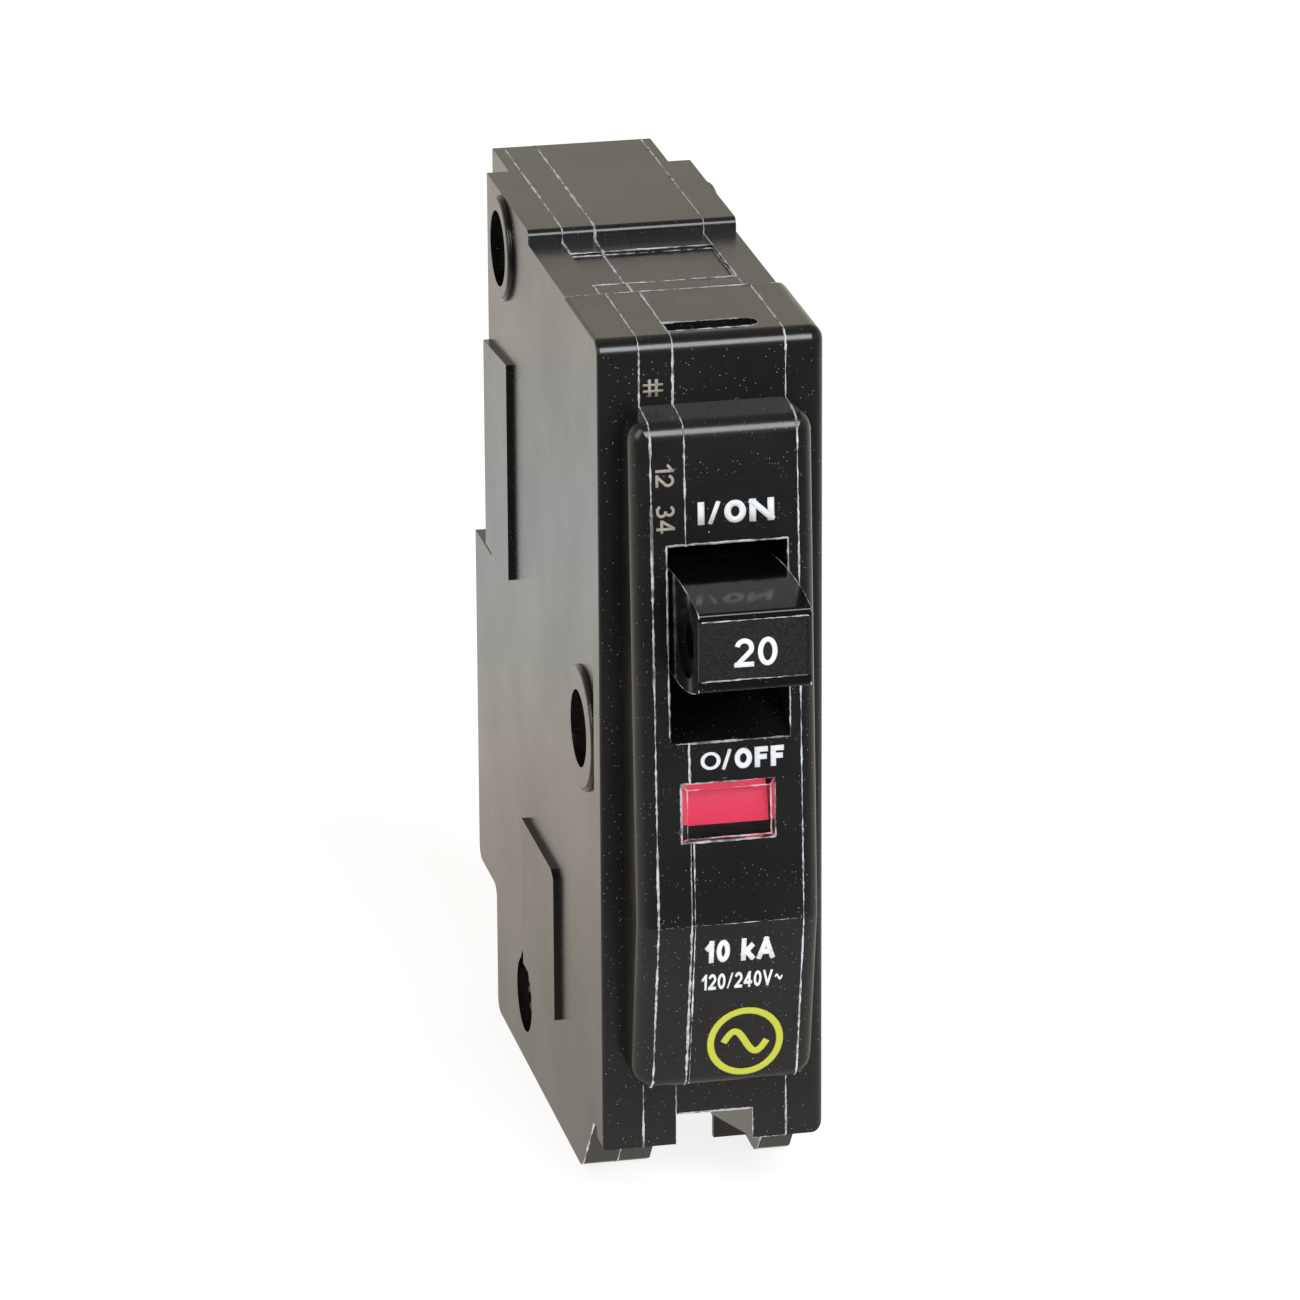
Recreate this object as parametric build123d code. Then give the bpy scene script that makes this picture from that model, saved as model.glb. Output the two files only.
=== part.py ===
from build123d import *
from math import atan2, cos, degrees, hypot, radians, sin, sqrt
import os

os.makedirs("parts", exist_ok=True)

# One-pole plug-on miniature circuit breaker, shown tripped.
# X runs across the case, Y from the handle side to the panel side, Z from the wire end to the line end.
# The origin is where the terminal screw's axis crosses the plane of the front shoulder.

# Case: overall sizes
MODULE_WIDTH = 19.05
CASE_DEPTH = 57.0
CASE_TOP = 71.04
CASE_BOTTOM = -6.3

# Case: the four mouldings, by thickness
LEFT_COVER = 3.445
SPACER = 2.82
RIGHT_COVER = 3.345
FACE_RELIEF = 0.5
COVER_SKIN = 1.2
WALL = 2.0
WEB = 0.98

# Case: side outline
TOP_STEP_DOWN = 0.74
TOP_STEP_UP = 1.2
RISER_Y = 13.3
REAR_STEP_Y = 31.1
COVER_BACK_INSET = 7.5
LOWER_BACK_INSET = 8.0
SHELF_Z = 36.4
UNDERSIDE_Z = 5.4
REBATE_SKIN = 1.0
SHOULDER_ROUND = 1.3
CORNER_ROUND = 1.2
STEP_ROUND = 0.6
LEFT_CORNER_ROUND = 0.3
RIGHT_CORNER_ROUND = 1.1
LAND_DEPTH = 2.6

# Case: wire end
LEG_DEPTH = 6.05
FOOT_TOE_Y = 10.9
FOOT_TOE_Z = -5.7
NOTCH_LEFT = -3.1
NOTCH_RIGHT = 3.35
NOTCH_TOP = 2.75
SKIRT_BACK_Y = 15.4
SKIRT_DROP = 4.2
CHAMBER_FRONT = 16.0
CHAMBER_TOP = 4.4
FLOOR_Z = 5.9
RAIL_SLOT_HALF = 7.0
RAIL_SLOT_DEPTH = 1.6
RAIL_SLOT_BOTTOM = -2.2
RAIL_SLOT_TOP = 0.4

# Case: surface details
UPPER_PAD_FRONT = 39.2
UPPER_PAD_BOTTOM = 37.6
UPPER_PAD_TOP = 57.2
LOWER_PAD_FRONT = 20.6
LOWER_PAD_BACK = 34.4
LOWER_PAD_BOTTOM = 3.7
LOWER_PAD_TOP = 17.3
RECESS_FRONT = 18.2
RECESS_BACK = 27.7
RECESS_DEPTH = 0.3
TOP_SLOT_FRONT = 1.9
TOP_SLOT_BACK = 4.2
TOP_SLOT_RIGHT = 3.4
TOP_SLOT_DEPTH = 1.5
PIP_Y = 2.9
PIP_Z = 51.45
PIP_R = 0.35

# Raised escutcheon round the handle
PLATEAU_HALF = 7.65
PLATEAU_TOP = 65.4
PLATEAU_BOTTOM = 6.6
PLATEAU_TOP_RISE = 4.1
RIDGE_Z = 22.2
RIDGE_RISE = 6.72
PLATEAU_LOW_RISE = 3.84
PLATEAU_EDGE = 1.5
PLATEAU_CORNER = 2.0

# Handle
PIVOT_Y = 6.0
PIVOT_Z = 48.0
DRUM_R = 8.5
DRUM_GAP = 0.45
TRUNNION_R = 2.0
RUNNING_GAP = 0.05
HANDLE_WIDTH = 9.3
HANDLE_CENTRE_X = 0.08
HANDLE_FRONT_Y = -15.75
HANDLE_TOP = 52.55
HANDLE_BOTTOM = 45.95
HANDLE_ON_DEG = 9.0
TIE_HOLE_R = 1.45
TIE_DISH_R = 3.05
TIE_DISH_DEPTH = 0.35
TIE_HOLE_Y = -10.8
TIE_HOLE_Z = 48.7
HANDLE_CROWN = 0.45
HANDLE_BELLY = 1.9
HANDLE_GAP_LEFT = 0.17
HANDLE_GAP_RIGHT = 0.47
POCKET_TOP = 54.7
POCKET_BOTTOM = 38.05
POCKET_FLOOR_BACK_Z = 41.2

# Contact arm: hung on a pin in the handle's drum
ARM_PIN_Y = 12.5
ARM_PIN_Z = 47.0
ARM_PIN_R = 1.0
ARM_THICK = 2.4
ARM_DEPTH = 3.4
ARM_TURN_PER_HANDLE_TURN = 1.2
ARM_SLOT_HALF = 1.6
CONTACT_BACK_INSET = 19.0
CONTACT_R = 2.0
MOVING_CONTACT_THICK = 1.1
FIXED_CONTACT_THICK = 1.05
CONTACT_GAP = 0.05

# Trip lever and flag
LEVER_PIVOT_Y = 24.0
LEVER_PIVOT_Z = 60.0
LEVER_PIVOT_R = 1.6
LEVER_SIDE_GAP = 0.925
LEVER_THICK = 1.2
LEVER_SWING_DEG = 14.0
FLAG_FRONT_Y = -4.6
FLAG_PIVOT_Z = 29.5
FLAG_R = 8.4
FLAG_THICK = 0.8
FLAG_SHAFT_R = 1.0
FLAG_LOW_DEG = 6.4
FLAG_HIGH_DEG = 45.0
FLAG_SWING_DEG = 50.0
FLAG_ROOM_GAP = 0.35
WINDOW_LEFT = -4.0
WINDOW_RIGHT = 3.95
WINDOW_BOTTOM = 29.4
WINDOW_TOP = 34.5
LENS_PROUD = 0.3
LENS_BEVEL = 0.4
LENS_GAP = 0.05
LENS_BACK_Y = -5.0

# Thermal and magnetic trip
STRAP_THICK = 1.2
STRAP_TOP = 13.8
BIMETAL_BOTTOM = 18.0
BIMETAL_THICK = 1.0
BIMETAL_WIDTH = 6.0
BIMETAL_FRONT = 17.0
BIMETAL_BACK_INSET = 10.1
YOKE_HALF = 4.6
YOKE_THICK = 1.2
YOKE_FRONT = 22.0
YOKE_LENGTH = 10.0
ARMATURE_GAP = 0.8
ARMATURE_THICK = 1.2
ARMATURE_PIN_R = 0.8
LATCH_TOP = 25.0
TIP_GAP = 0.2

# Wire terminal: screw axis along Y through the origin
SCREW_R = 2.0
SCREW_HEAD_R = 3.6
SCREW_HEAD_FRONT = 20.6
SCREW_HEAD_THICK = 2.3
CLAMP_THICK = 1.2
HEAD_SIDE_GAP = 0.7
WIRE_GAP = 4.4
PLATE_THICK = 1.4
TIP_ROOM = 0.4

# Line jaw
JAW_HALF_WIDTH = 3.3
JAW_BOTTOM = 47.0
JAW_TOP = 61.0
JAW_BACK_INSET = 15.0
JAW_SHEET = 1.1
JAW_PINCH = 0.9
JAW_MOUTH = 2.7
STAB_SLOT_RELIEF = 1.0

# Rivets: two in ring bosses, one in the lower back corner
UPPER_RIVET = (42.3, CASE_TOP - 4.25)
MIDDLE_RIVET = (9.0, 34.6)
LOWER_RIVET_Z = -0.2
RIVET_R = 1.5
RIVET_GAP = 0.05
RIVET_HEAD_R = 2.65
RIVET_HEAD_THICK = 0.7
RIVET_RECESS_R = 3.3
RIVET_RECESS_DEPTH = 1.7
UPPER_RING_R = 4.6
MIDDLE_RING_R = 5.4
RING_BEAD = 0.5

FAR = 200.0

# Sizes that follow from the ones above
HALF_WIDTH = MODULE_WIDTH / 2
LINE_LEFT = -HALF_WIDTH + LEFT_COVER
LINE_MID = LINE_LEFT + SPACER
LINE_RIGHT = HALF_WIDTH - RIGHT_COVER
FACE = HALF_WIDTH - FACE_RELIEF
SKIN_INSIDE = FACE - COVER_SKIN
WEB_INSIDE = LINE_RIGHT - WEB
LEVER_LEFT = LEVER_SIDE_GAP - SKIN_INSIDE
HANDLE_LEFT = HANDLE_CENTRE_X - HANDLE_WIDTH / 2
HANDLE_RIGHT = HANDLE_CENTRE_X + HANDLE_WIDTH / 2
POCKET_LEFT = HANDLE_LEFT - HANDLE_GAP_LEFT
POCKET_RIGHT = HANDLE_RIGHT + HANDLE_GAP_RIGHT
FLAG_PIVOT_Y = FLAG_FRONT_Y + FLAG_R
TOP_MIDDLE = CASE_TOP - TOP_STEP_DOWN
TOP_REAR = TOP_MIDDLE + TOP_STEP_UP
COVER_BACK = CASE_DEPTH - COVER_BACK_INSET
LOWER_BACK = CASE_DEPTH - LOWER_BACK_INSET
REBATE_FACE = -LINE_LEFT + REBATE_SKIN
CONTACT_Y = CASE_DEPTH - CONTACT_BACK_INSET
BACK_INSIDE = CASE_DEPTH - WALL
SCREW_TRAVEL = WIRE_GAP - 0.4
CLAMP_FRONT = SCREW_HEAD_FRONT + SCREW_HEAD_THICK
PLATE_FRONT = CLAMP_FRONT + CLAMP_THICK + WIRE_GAP
PLATE_BACK = PLATE_FRONT + PLATE_THICK
CHAMBER_HALF = SCREW_HEAD_R + HEAD_SIDE_GAP
CHAMBER_BACK = PLATE_BACK + 2.6
LOWER_RIVET = (CHAMBER_BACK + 4.1, LOWER_RIVET_Z)
RIVETS = (UPPER_RIVET, MIDDLE_RIVET, LOWER_RIVET)
RINGS = ((UPPER_RIVET, UPPER_RING_R), (MIDDLE_RIVET, MIDDLE_RING_R))
STAB_SLOT_HALF = JAW_MOUTH + STAB_SLOT_RELIEF
BIMETAL_BACK = CASE_DEPTH - BIMETAL_BACK_INSET


def block(x0, x1, y0, y1, z0, z1):
    """A box from corner to corner."""
    return Pos((x0 + x1) / 2, (y0 + y1) / 2, (z0 + z1) / 2) * Box(x1 - x0, y1 - y0, z1 - z0)


def side_prism(points, x0, x1):
    """A side outline, given as (y, z) corners, made solid from x0 to x1."""
    face = Plane.YZ * make_face(Polyline(*points, close=True))
    return Pos(x0, 0, 0) * extrude(face, amount=x1 - x0)


def plan_prism(points, z0, z1):
    """A plan outline, given as (x, y) corners, made solid from z0 to z1."""
    return Pos(0, 0, z0) * extrude(make_face(Polyline(*points, close=True)), amount=z1 - z0)


def rod_x(y, z, radius, x0, x1):
    return Pos((x0 + x1) / 2, y, z) * Rot(0, 90, 0) * Cylinder(radius, x1 - x0)


def rod_y(x, z, radius, y0, y1):
    return Pos(x, (y0 + y1) / 2, z) * Rot(90, 0, 0) * Cylinder(radius, y1 - y0)


def rod_z(x, y, radius, z0, z1):
    return Pos(x, y, (z0 + z1) / 2) * Cylinder(radius, z1 - z0)


def link(start, end, width, x0, x1):
    """A flat bar with round ends between two (y, z) points."""
    dy, dz = end[0] - start[0], end[1] - start[1]
    length = hypot(dy, dz)
    bar = block(x0, x1, 0, length, -width / 2, width / 2)
    bar = bar + rod_x(0, 0, width / 2, x0, x1) + rod_x(length, 0, width / 2, x0, x1)
    return Pos(0, start[0], start[1]) * Rot(degrees(atan2(dz, dy)), 0, 0) * bar


def turned(point, centre, angle):
    """A (y, z) point turned about a centre, from +Y towards +Z."""
    c, s = cos(radians(angle)), sin(radians(angle))
    y, z = point[0] - centre[0], point[1] - centre[1]
    return centre[0] + y * c - z * s, centre[1] + y * s + z * c


def round_edges_along_x(solid, corners, radius):
    """Rounds the edges that run along X through the given (y, z) corners."""
    chosen = []
    for edge in solid.edges().filter_by(Axis.X):
        middle = edge.center()
        if any(hypot(middle.Y - y, middle.Z - z) < 0.02 for y, z in corners):
            chosen.append(edge)
    return fillet(chosen, radius)


def coil_spring(start, end, coil_r, wire_r, turns):
    """A close spring between two (y, z) points at X = 0, with a closed ring at each end."""
    length = hypot(end[0] - start[0], end[1] - start[1])
    path = Helix(pitch=length / turns, height=length, radius=coil_r)
    section = Plane(origin=path @ 0, z_dir=path % 0) * Circle(wire_r)
    body = sweep(section, path=path, is_frenet=True)
    for height in (0, length):
        body = body + Pos(0, 0, height) * Torus(coil_r, wire_r)
    angle = degrees(atan2(end[1] - start[1], end[0] - start[0]))
    return Pos(0, start[0], start[1]) * Rot(angle - 90, 0, 0) * body


# ---------------------------------------------------------------- case mouldings

PIVOT = (PIVOT_Y, PIVOT_Z)
LEVER_PIVOT = (LEVER_PIVOT_Y, LEVER_PIVOT_Z)
FLAG_PIVOT = (FLAG_PIVOT_Y, FLAG_PIVOT_Z)


def case_outline(upper_back):
    """The side outline of a moulding whose upper part ends at upper_back."""
    points = [(0, 0), (0, CASE_TOP), (RISER_Y, CASE_TOP), (RISER_Y, TOP_MIDDLE)]
    points += [(REAR_STEP_Y, TOP_MIDDLE), (REAR_STEP_Y, TOP_REAR), (upper_back, TOP_REAR)]
    if upper_back < CASE_DEPTH:
        points += [(upper_back, SHELF_Z), (CASE_DEPTH, SHELF_Z)]
    points += [(CASE_DEPTH, UNDERSIDE_Z), (LOWER_BACK, UNDERSIDE_Z), (LOWER_BACK, CASE_BOTTOM)]
    points += [(FOOT_TOE_Y + 1.2, CASE_BOTTOM), (FOOT_TOE_Y, FOOT_TOE_Z), (LEG_DEPTH, 0)]
    return points


def mechanism_room(x0, x1, upper_back):
    """The hollow that holds the mechanism, closed below by the floor over the wire terminal."""
    points = [(WALL, FLOOR_Z), (WALL, TOP_MIDDLE - WALL), (upper_back - WALL, TOP_MIDDLE - WALL)]
    if upper_back < CASE_DEPTH:
        points += [(upper_back - WALL, SHELF_Z - WALL), (BACK_INSIDE, SHELF_Z - WALL)]
    points += [(BACK_INSIDE, UNDERSIDE_Z + WALL), (LOWER_BACK - WALL, UNDERSIDE_Z + WALL)]
    points += [(LOWER_BACK - WALL, CASE_BOTTOM + WALL), (CHAMBER_BACK + 1.4, CASE_BOTTOM + WALL)]
    points += [(CHAMBER_BACK + 1.4, FLOOR_Z)]
    return side_prism(points, x0, x1)


def plateau():
    """The whole raised escutcheon, before it is shared out between the mouldings."""
    side = [(1.0, PLATEAU_TOP), (0, PLATEAU_TOP), (-PLATEAU_TOP_RISE, PLATEAU_TOP - 0.5)]
    side += [(-RIDGE_RISE, RIDGE_Z), (-PLATEAU_LOW_RISE, PLATEAU_BOTTOM), (1.0, PLATEAU_BOTTOM)]
    body = side_prism(side, -PLATEAU_HALF, PLATEAU_HALF)
    front_view = RectangleRounded(2 * PLATEAU_HALF, PLATEAU_TOP - PLATEAU_BOTTOM, PLATEAU_CORNER)
    column = extrude(Plane.XZ * front_view, amount=1.0 + 2 * RIDGE_RISE)
    body = body & (Pos(0, 1.0, (PLATEAU_TOP + PLATEAU_BOTTOM) / 2) * column)
    front = [e for e in body.edges() if e.center().Y < -PLATEAU_LOW_RISE + 0.1]
    front = [e for e in front if not (abs(e.center().Z - RIDGE_Z) < 0.01 and abs(e.center().X) < 0.01)]
    return fillet(front, PLATEAU_EDGE)


def escutcheon_y(z):
    """The front face of the escutcheon at a height."""
    if z > RIDGE_Z:
        share = (PLATEAU_TOP - 0.5 - z) / (PLATEAU_TOP - 0.5 - RIDGE_Z)
        return -(PLATEAU_TOP_RISE + (RIDGE_RISE - PLATEAU_TOP_RISE) * share)
    share = (RIDGE_Z - z) / (RIDGE_Z - PLATEAU_BOTTOM)
    return -(RIDGE_RISE + (PLATEAU_LOW_RISE - RIDGE_RISE) * share)


def handle_pocket():
    """The opening that the handle swings in, with its sloping floor and the drum's clearance."""
    mouth = 3.0
    floor_slope = [(-RIDGE_RISE - mouth, POCKET_BOTTOM), (escutcheon_y(POCKET_BOTTOM), POCKET_BOTTOM)]
    floor_slope += [(WALL, POCKET_FLOOR_BACK_Z), (WALL, POCKET_TOP), (-RIDGE_RISE - mouth, POCKET_TOP)]
    opening = side_prism(floor_slope, POCKET_LEFT, POCKET_RIGHT)
    drum = rod_x(PIVOT_Y, PIVOT_Z, DRUM_R + DRUM_GAP, POCKET_LEFT, POCKET_RIGHT)
    return opening + drum


def flag_well():
    """The window and the room behind it that the flag swings in."""
    gap = FLAG_ROOM_GAP
    window = block(WINDOW_LEFT, WINDOW_RIGHT, -FAR, 0, WINDOW_BOTTOM, WINDOW_TOP)
    lowest = FLAG_PIVOT_Z - FLAG_R * sin(radians(FLAG_SWING_DEG - FLAG_LOW_DEG)) - gap
    highest = FLAG_PIVOT_Z + FLAG_R * sin(radians(FLAG_HIGH_DEG)) + gap
    room = block(WINDOW_LEFT - 0.6, WINDOW_RIGHT + gap, FLAG_FRONT_Y - gap, WALL + 0.1, lowest, highest)
    return window + room


def terminal_chamber():
    """The channel between the legs, open below, and the wider room for the wire terminal."""
    channel = block(NOTCH_LEFT, NOTCH_RIGHT, -1, CHAMBER_FRONT, CASE_BOTTOM - 1, NOTCH_TOP)
    room = block(-CHAMBER_HALF, CHAMBER_HALF, CHAMBER_FRONT, CHAMBER_BACK, CASE_BOTTOM - 1, CHAMBER_TOP)
    tail = block(-2.7, 2.7, PLATE_FRONT - 0.15, PLATE_BACK + 0.15, CHAMBER_TOP - 0.1, FLOOR_Z + 0.1)
    tip_bore = rod_y(0, 0, SCREW_R + TIP_ROOM, CHAMBER_BACK - 0.1, PLATE_BACK + SCREW_TRAVEL + TIP_ROOM)
    return channel + room + tail + tip_bore


def rail_slot():
    """The slot in the lower back that hooks on the panel's mounting rail."""
    half = RAIL_SLOT_HALF
    return block(-half, half, LOWER_BACK - RAIL_SLOT_DEPTH, LOWER_BACK + 1, RAIL_SLOT_BOTTOM, RAIL_SLOT_TOP)


def stab_slot():
    """The slot in the back that the bus stab enters."""
    half = STAB_SLOT_HALF
    return block(-half, half, BACK_INSIDE - 0.1, CASE_DEPTH + 1, JAW_BOTTOM - 1, JAW_TOP + 1)


def rivet_holes(x0, x1):
    holes = [rod_x(y, z, RIVET_R + RIVET_GAP, x0, x1) for y, z in RIVETS]
    return holes[0] + holes[1] + holes[2]


def rounded_case(solid):
    """Rounds a moulding's lower back corners and the top step."""
    back = [(CASE_DEPTH, UNDERSIDE_Z), (LOWER_BACK, UNDERSIDE_Z), (LOWER_BACK, CASE_BOTTOM)]
    solid = round_edges_along_x(solid, back, CORNER_ROUND)
    return round_edges_along_x(solid, [(REAR_STEP_Y, TOP_REAR)], STEP_ROUND)


def cover(side, line, outer_round):
    """An outer cover's outside: side is -1 for the left one and 1 for the right one."""
    body = side_prism(case_outline(COVER_BACK), *sorted((side * FACE, line)))
    body = rounded_case(body)
    x0, x1 = sorted((side * REBATE_FACE, line))
    body = body + block(x0, x1, COVER_BACK - 1, CASE_DEPTH, SHELF_Z - 1, TOP_REAR)
    land_x = sorted((side * (FACE - 0.4), side * HALF_WIDTH))
    land_low = CASE_TOP - 5.0
    land = [(0, 0), (0, CASE_TOP), (RISER_Y, CASE_TOP), (RISER_Y, land_low + 1.5), (LAND_DEPTH, land_low)]
    body = body + side_prism(land + [(LAND_DEPTH, 0)], *land_x)
    body = round_edges_along_x(body, [(0, CASE_TOP)], SHOULDER_ROUND)
    corners = [e for e in body.edges().filter_by(Axis.Y) if abs(e.center().X) > HALF_WIDTH - 0.01]
    return fillet(corners, outer_round)


def ring_boss(side, y, z, radius):
    """A raised boss round a rivet hole."""
    x0, x1 = sorted((side * (FACE - 0.4), side * HALF_WIDTH))
    bead = rod_x(y, z, radius, x0, x1)
    outer = [e for e in bead.edges() if abs(abs(e.center().X) - HALF_WIDTH) < 0.01]
    return fillet(outer, RING_BEAD * 0.8)


def rivet_post(side, line, y, z):
    """The post inside a cover that a rivet passes through."""
    x0, x1 = sorted((side * (SKIN_INSIDE + 0.3), line))
    return rod_x(y, z, RIVET_RECESS_R + 0.9, x0, x1)


def rivet_recess(side, y, z):
    x0, x1 = sorted((side * (FACE - RIVET_RECESS_DEPTH), side * (HALF_WIDTH + 1)))
    return rod_x(y, z, RIVET_RECESS_R, x0, x1)


def finish_cover(side, line, body):
    """Hollows a cover and adds its ring bosses, rivet recesses and rivet holes."""
    room = mechanism_room(*sorted((side * SKIN_INSIDE, line)), COVER_BACK)
    for y, z in RIVETS:
        room = room - rivet_post(side, line, y, z)
    body = body - room
    for (y, z), radius in RINGS:
        body = body + ring_boss(side, y, z, radius)
    for y, z in RIVETS:
        body = body - rivet_recess(side, y, z)
    return body - rivet_holes(*sorted((side * (HALF_WIDTH + 1), line)))


def left_cover():
    body = cover(-1, LINE_LEFT, LEFT_CORNER_ROUND)
    front, top = UPPER_PAD_FRONT, UPPER_PAD_TOP
    upper_pad = [(front, UPPER_PAD_BOTTOM), (front, top), (COVER_BACK, top - 0.8)]
    upper_pad += [(COVER_BACK, UPPER_PAD_BOTTOM)]
    front, back, top = LOWER_PAD_FRONT, LOWER_PAD_BACK, LOWER_PAD_TOP
    lower_pad = [(front, LOWER_PAD_BOTTOM), (front, top - 0.6), (front + 1.0, top)]
    lower_pad += [(back, top), (back, LOWER_PAD_BOTTOM)]
    for outline in (upper_pad, lower_pad):
        body = body + side_prism(outline, -HALF_WIDTH, -FACE + 0.4)
    body = finish_cover(-1, LINE_LEFT, body)
    y, z = LOWER_RIVET
    drop = [(y - 2.2, z + 2.0), (y + 0.7, z + 4.0), (y + 2.6, z + 1.6)]
    body = body - side_prism(drop, -HALF_WIDTH - 1, -FACE + RIVET_RECESS_DEPTH)
    body = body + (plateau() & block(-FAR, LINE_LEFT, -FAR, 0.5, 0, CASE_TOP))
    lever_pin_end = LEVER_LEFT + LEVER_THICK + 0.3
    body = body + rod_x(*LEVER_PIVOT, LEVER_PIVOT_R + 1.4, -SKIN_INSIDE - 0.1, LEVER_LEFT - 0.1)
    body = body + rod_x(*LEVER_PIVOT, LEVER_PIVOT_R, LEVER_LEFT - 0.2, lever_pin_end)
    body = body + rod_x(*PIVOT, TRUNNION_R + 1.5, -SKIN_INSIDE - 0.1, LINE_LEFT)
    body = body - rod_x(*PIVOT, TRUNNION_R + RUNNING_GAP, -SKIN_INSIDE, LINE_LEFT + 0.1)
    body = body - rod_x(*FLAG_PIVOT, FLAG_SHAFT_R + RUNNING_GAP, -SKIN_INSIDE - 0.5, -SKIN_INSIDE + 0.1)
    return body - rod_x(PIP_Y, PIP_Z, PIP_R, -HALF_WIDTH - 0.1, -HALF_WIDTH + 0.6)


def right_cover():
    body = finish_cover(1, LINE_RIGHT, cover(1, LINE_RIGHT, RIGHT_CORNER_ROUND))
    return body + (plateau() & block(LINE_RIGHT, FAR, -FAR, 0.5, 0, CASE_TOP))


def case_spacer():
    body = side_prism(case_outline(CASE_DEPTH), LINE_LEFT, LINE_MID)
    body = rounded_case(body)
    body = round_edges_along_x(body, [(0, CASE_TOP)], SHOULDER_ROUND)
    body = body + (plateau() & block(LINE_LEFT, LINE_MID, -FAR, 0.5, 0, CASE_TOP))
    body = body - mechanism_room(LINE_LEFT, LINE_MID, CASE_DEPTH)
    body = body - handle_pocket() - flag_well() - terminal_chamber()
    body = body - rail_slot() - stab_slot() - top_recess()
    return body - rivet_holes(LINE_LEFT, LINE_MID)


def top_recess():
    """The shallow rectangle sunk in the top behind the front edge."""
    floor = TOP_MIDDLE - RECESS_DEPTH
    return block(LINE_LEFT, LINE_RIGHT, RECESS_FRONT, RECESS_BACK, floor, TOP_MIDDLE + 1)


def top_slot():
    """The short slot in the top near the front edge, round at one end."""
    y0, y1, right = TOP_SLOT_FRONT, TOP_SLOT_BACK, TOP_SLOT_RIGHT
    floor = CASE_TOP - TOP_SLOT_DEPTH
    slot = block(LINE_MID, right, y0, y1, floor, CASE_TOP + 1)
    return slot + rod_z(right, (y0 + y1) / 2, (y1 - y0) / 2, floor, CASE_TOP + 1)


def main_case():
    skirt = [(0, 0), (0, NOTCH_TOP + 2), (SKIRT_BACK_Y, NOTCH_TOP + 2), (SKIRT_BACK_Y, -SKIRT_DROP)]
    body = side_prism(case_outline(CASE_DEPTH), LINE_MID, LINE_RIGHT)
    body = rounded_case(body)
    body = round_edges_along_x(body, [(0, CASE_TOP)], SHOULDER_ROUND)
    body = body - block(LINE_MID, LINE_RIGHT, -1, SKIRT_BACK_Y, -FAR, NOTCH_TOP)
    body = body + side_prism(skirt, NOTCH_RIGHT, LINE_RIGHT)
    body = body + (plateau() & block(LINE_MID, LINE_RIGHT, -FAR, 0.5, 0, CASE_TOP))
    body = body - mechanism_room(LINE_MID, WEB_INSIDE, CASE_DEPTH)
    body = body - handle_pocket() - flag_well() - terminal_chamber() - rail_slot() - stab_slot()
    body = body - top_recess() - top_slot()
    body = body - rod_x(*PIVOT, TRUNNION_R + RUNNING_GAP, WEB_INSIDE - 0.1, LINE_RIGHT + 0.1)
    body = body - rod_x(*FLAG_PIVOT, FLAG_SHAFT_R + RUNNING_GAP, WEB_INSIDE - 0.1, LINE_RIGHT + 0.1)
    return body - rivet_holes(LINE_MID, LINE_RIGHT)


def case_rivets():
    """Tubular rivets, flared at both ends."""
    reach = FACE - RIVET_RECESS_DEPTH + RIVET_HEAD_THICK
    rivets = []
    for y, z in RIVETS:
        rivet = rod_x(y, z, RIVET_R, -reach, reach)
        for side in (-1, 1):
            head = rod_x(y, z, RIVET_HEAD_R, *sorted((side * reach, side * (reach - RIVET_HEAD_THICK))))
            rim = [e for e in head.edges() if abs(abs(e.center().X) - reach) < 0.01]
            rivet = rivet + fillet(rim, RIVET_HEAD_THICK * 0.6)
            rivet = rivet - rod_x(y, z, RIVET_R * 0.62, *sorted((side * (reach + 1), side * (reach - 3.5))))
        rivets.append(rivet)
    return Compound(children=rivets)


def window_lens():
    """A clear block pressed in the window, bevelled all round its front."""
    gap = LENS_GAP
    low, high = WINDOW_BOTTOM + gap, WINDOW_TOP - gap
    side = [(LENS_BACK_Y, low), (escutcheon_y(low) - LENS_PROUD, low)]
    side += [(escutcheon_y(high) - LENS_PROUD, high), (LENS_BACK_Y, high)]
    body = side_prism(side, WINDOW_LEFT + gap, WINDOW_RIGHT - gap)
    front = body.faces().sort_by(Axis.Y)[0]
    return chamfer(front.edges(), LENS_BEVEL)


# ---------------------------------------------------------------- handle and contact arm

ARM_PIN = (ARM_PIN_Y, ARM_PIN_Z)
ARM_PIN_CLOSED = turned(ARM_PIN, PIVOT, -HANDLE_ON_DEG)
STRAP_LINE_Z = 49.6


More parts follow.
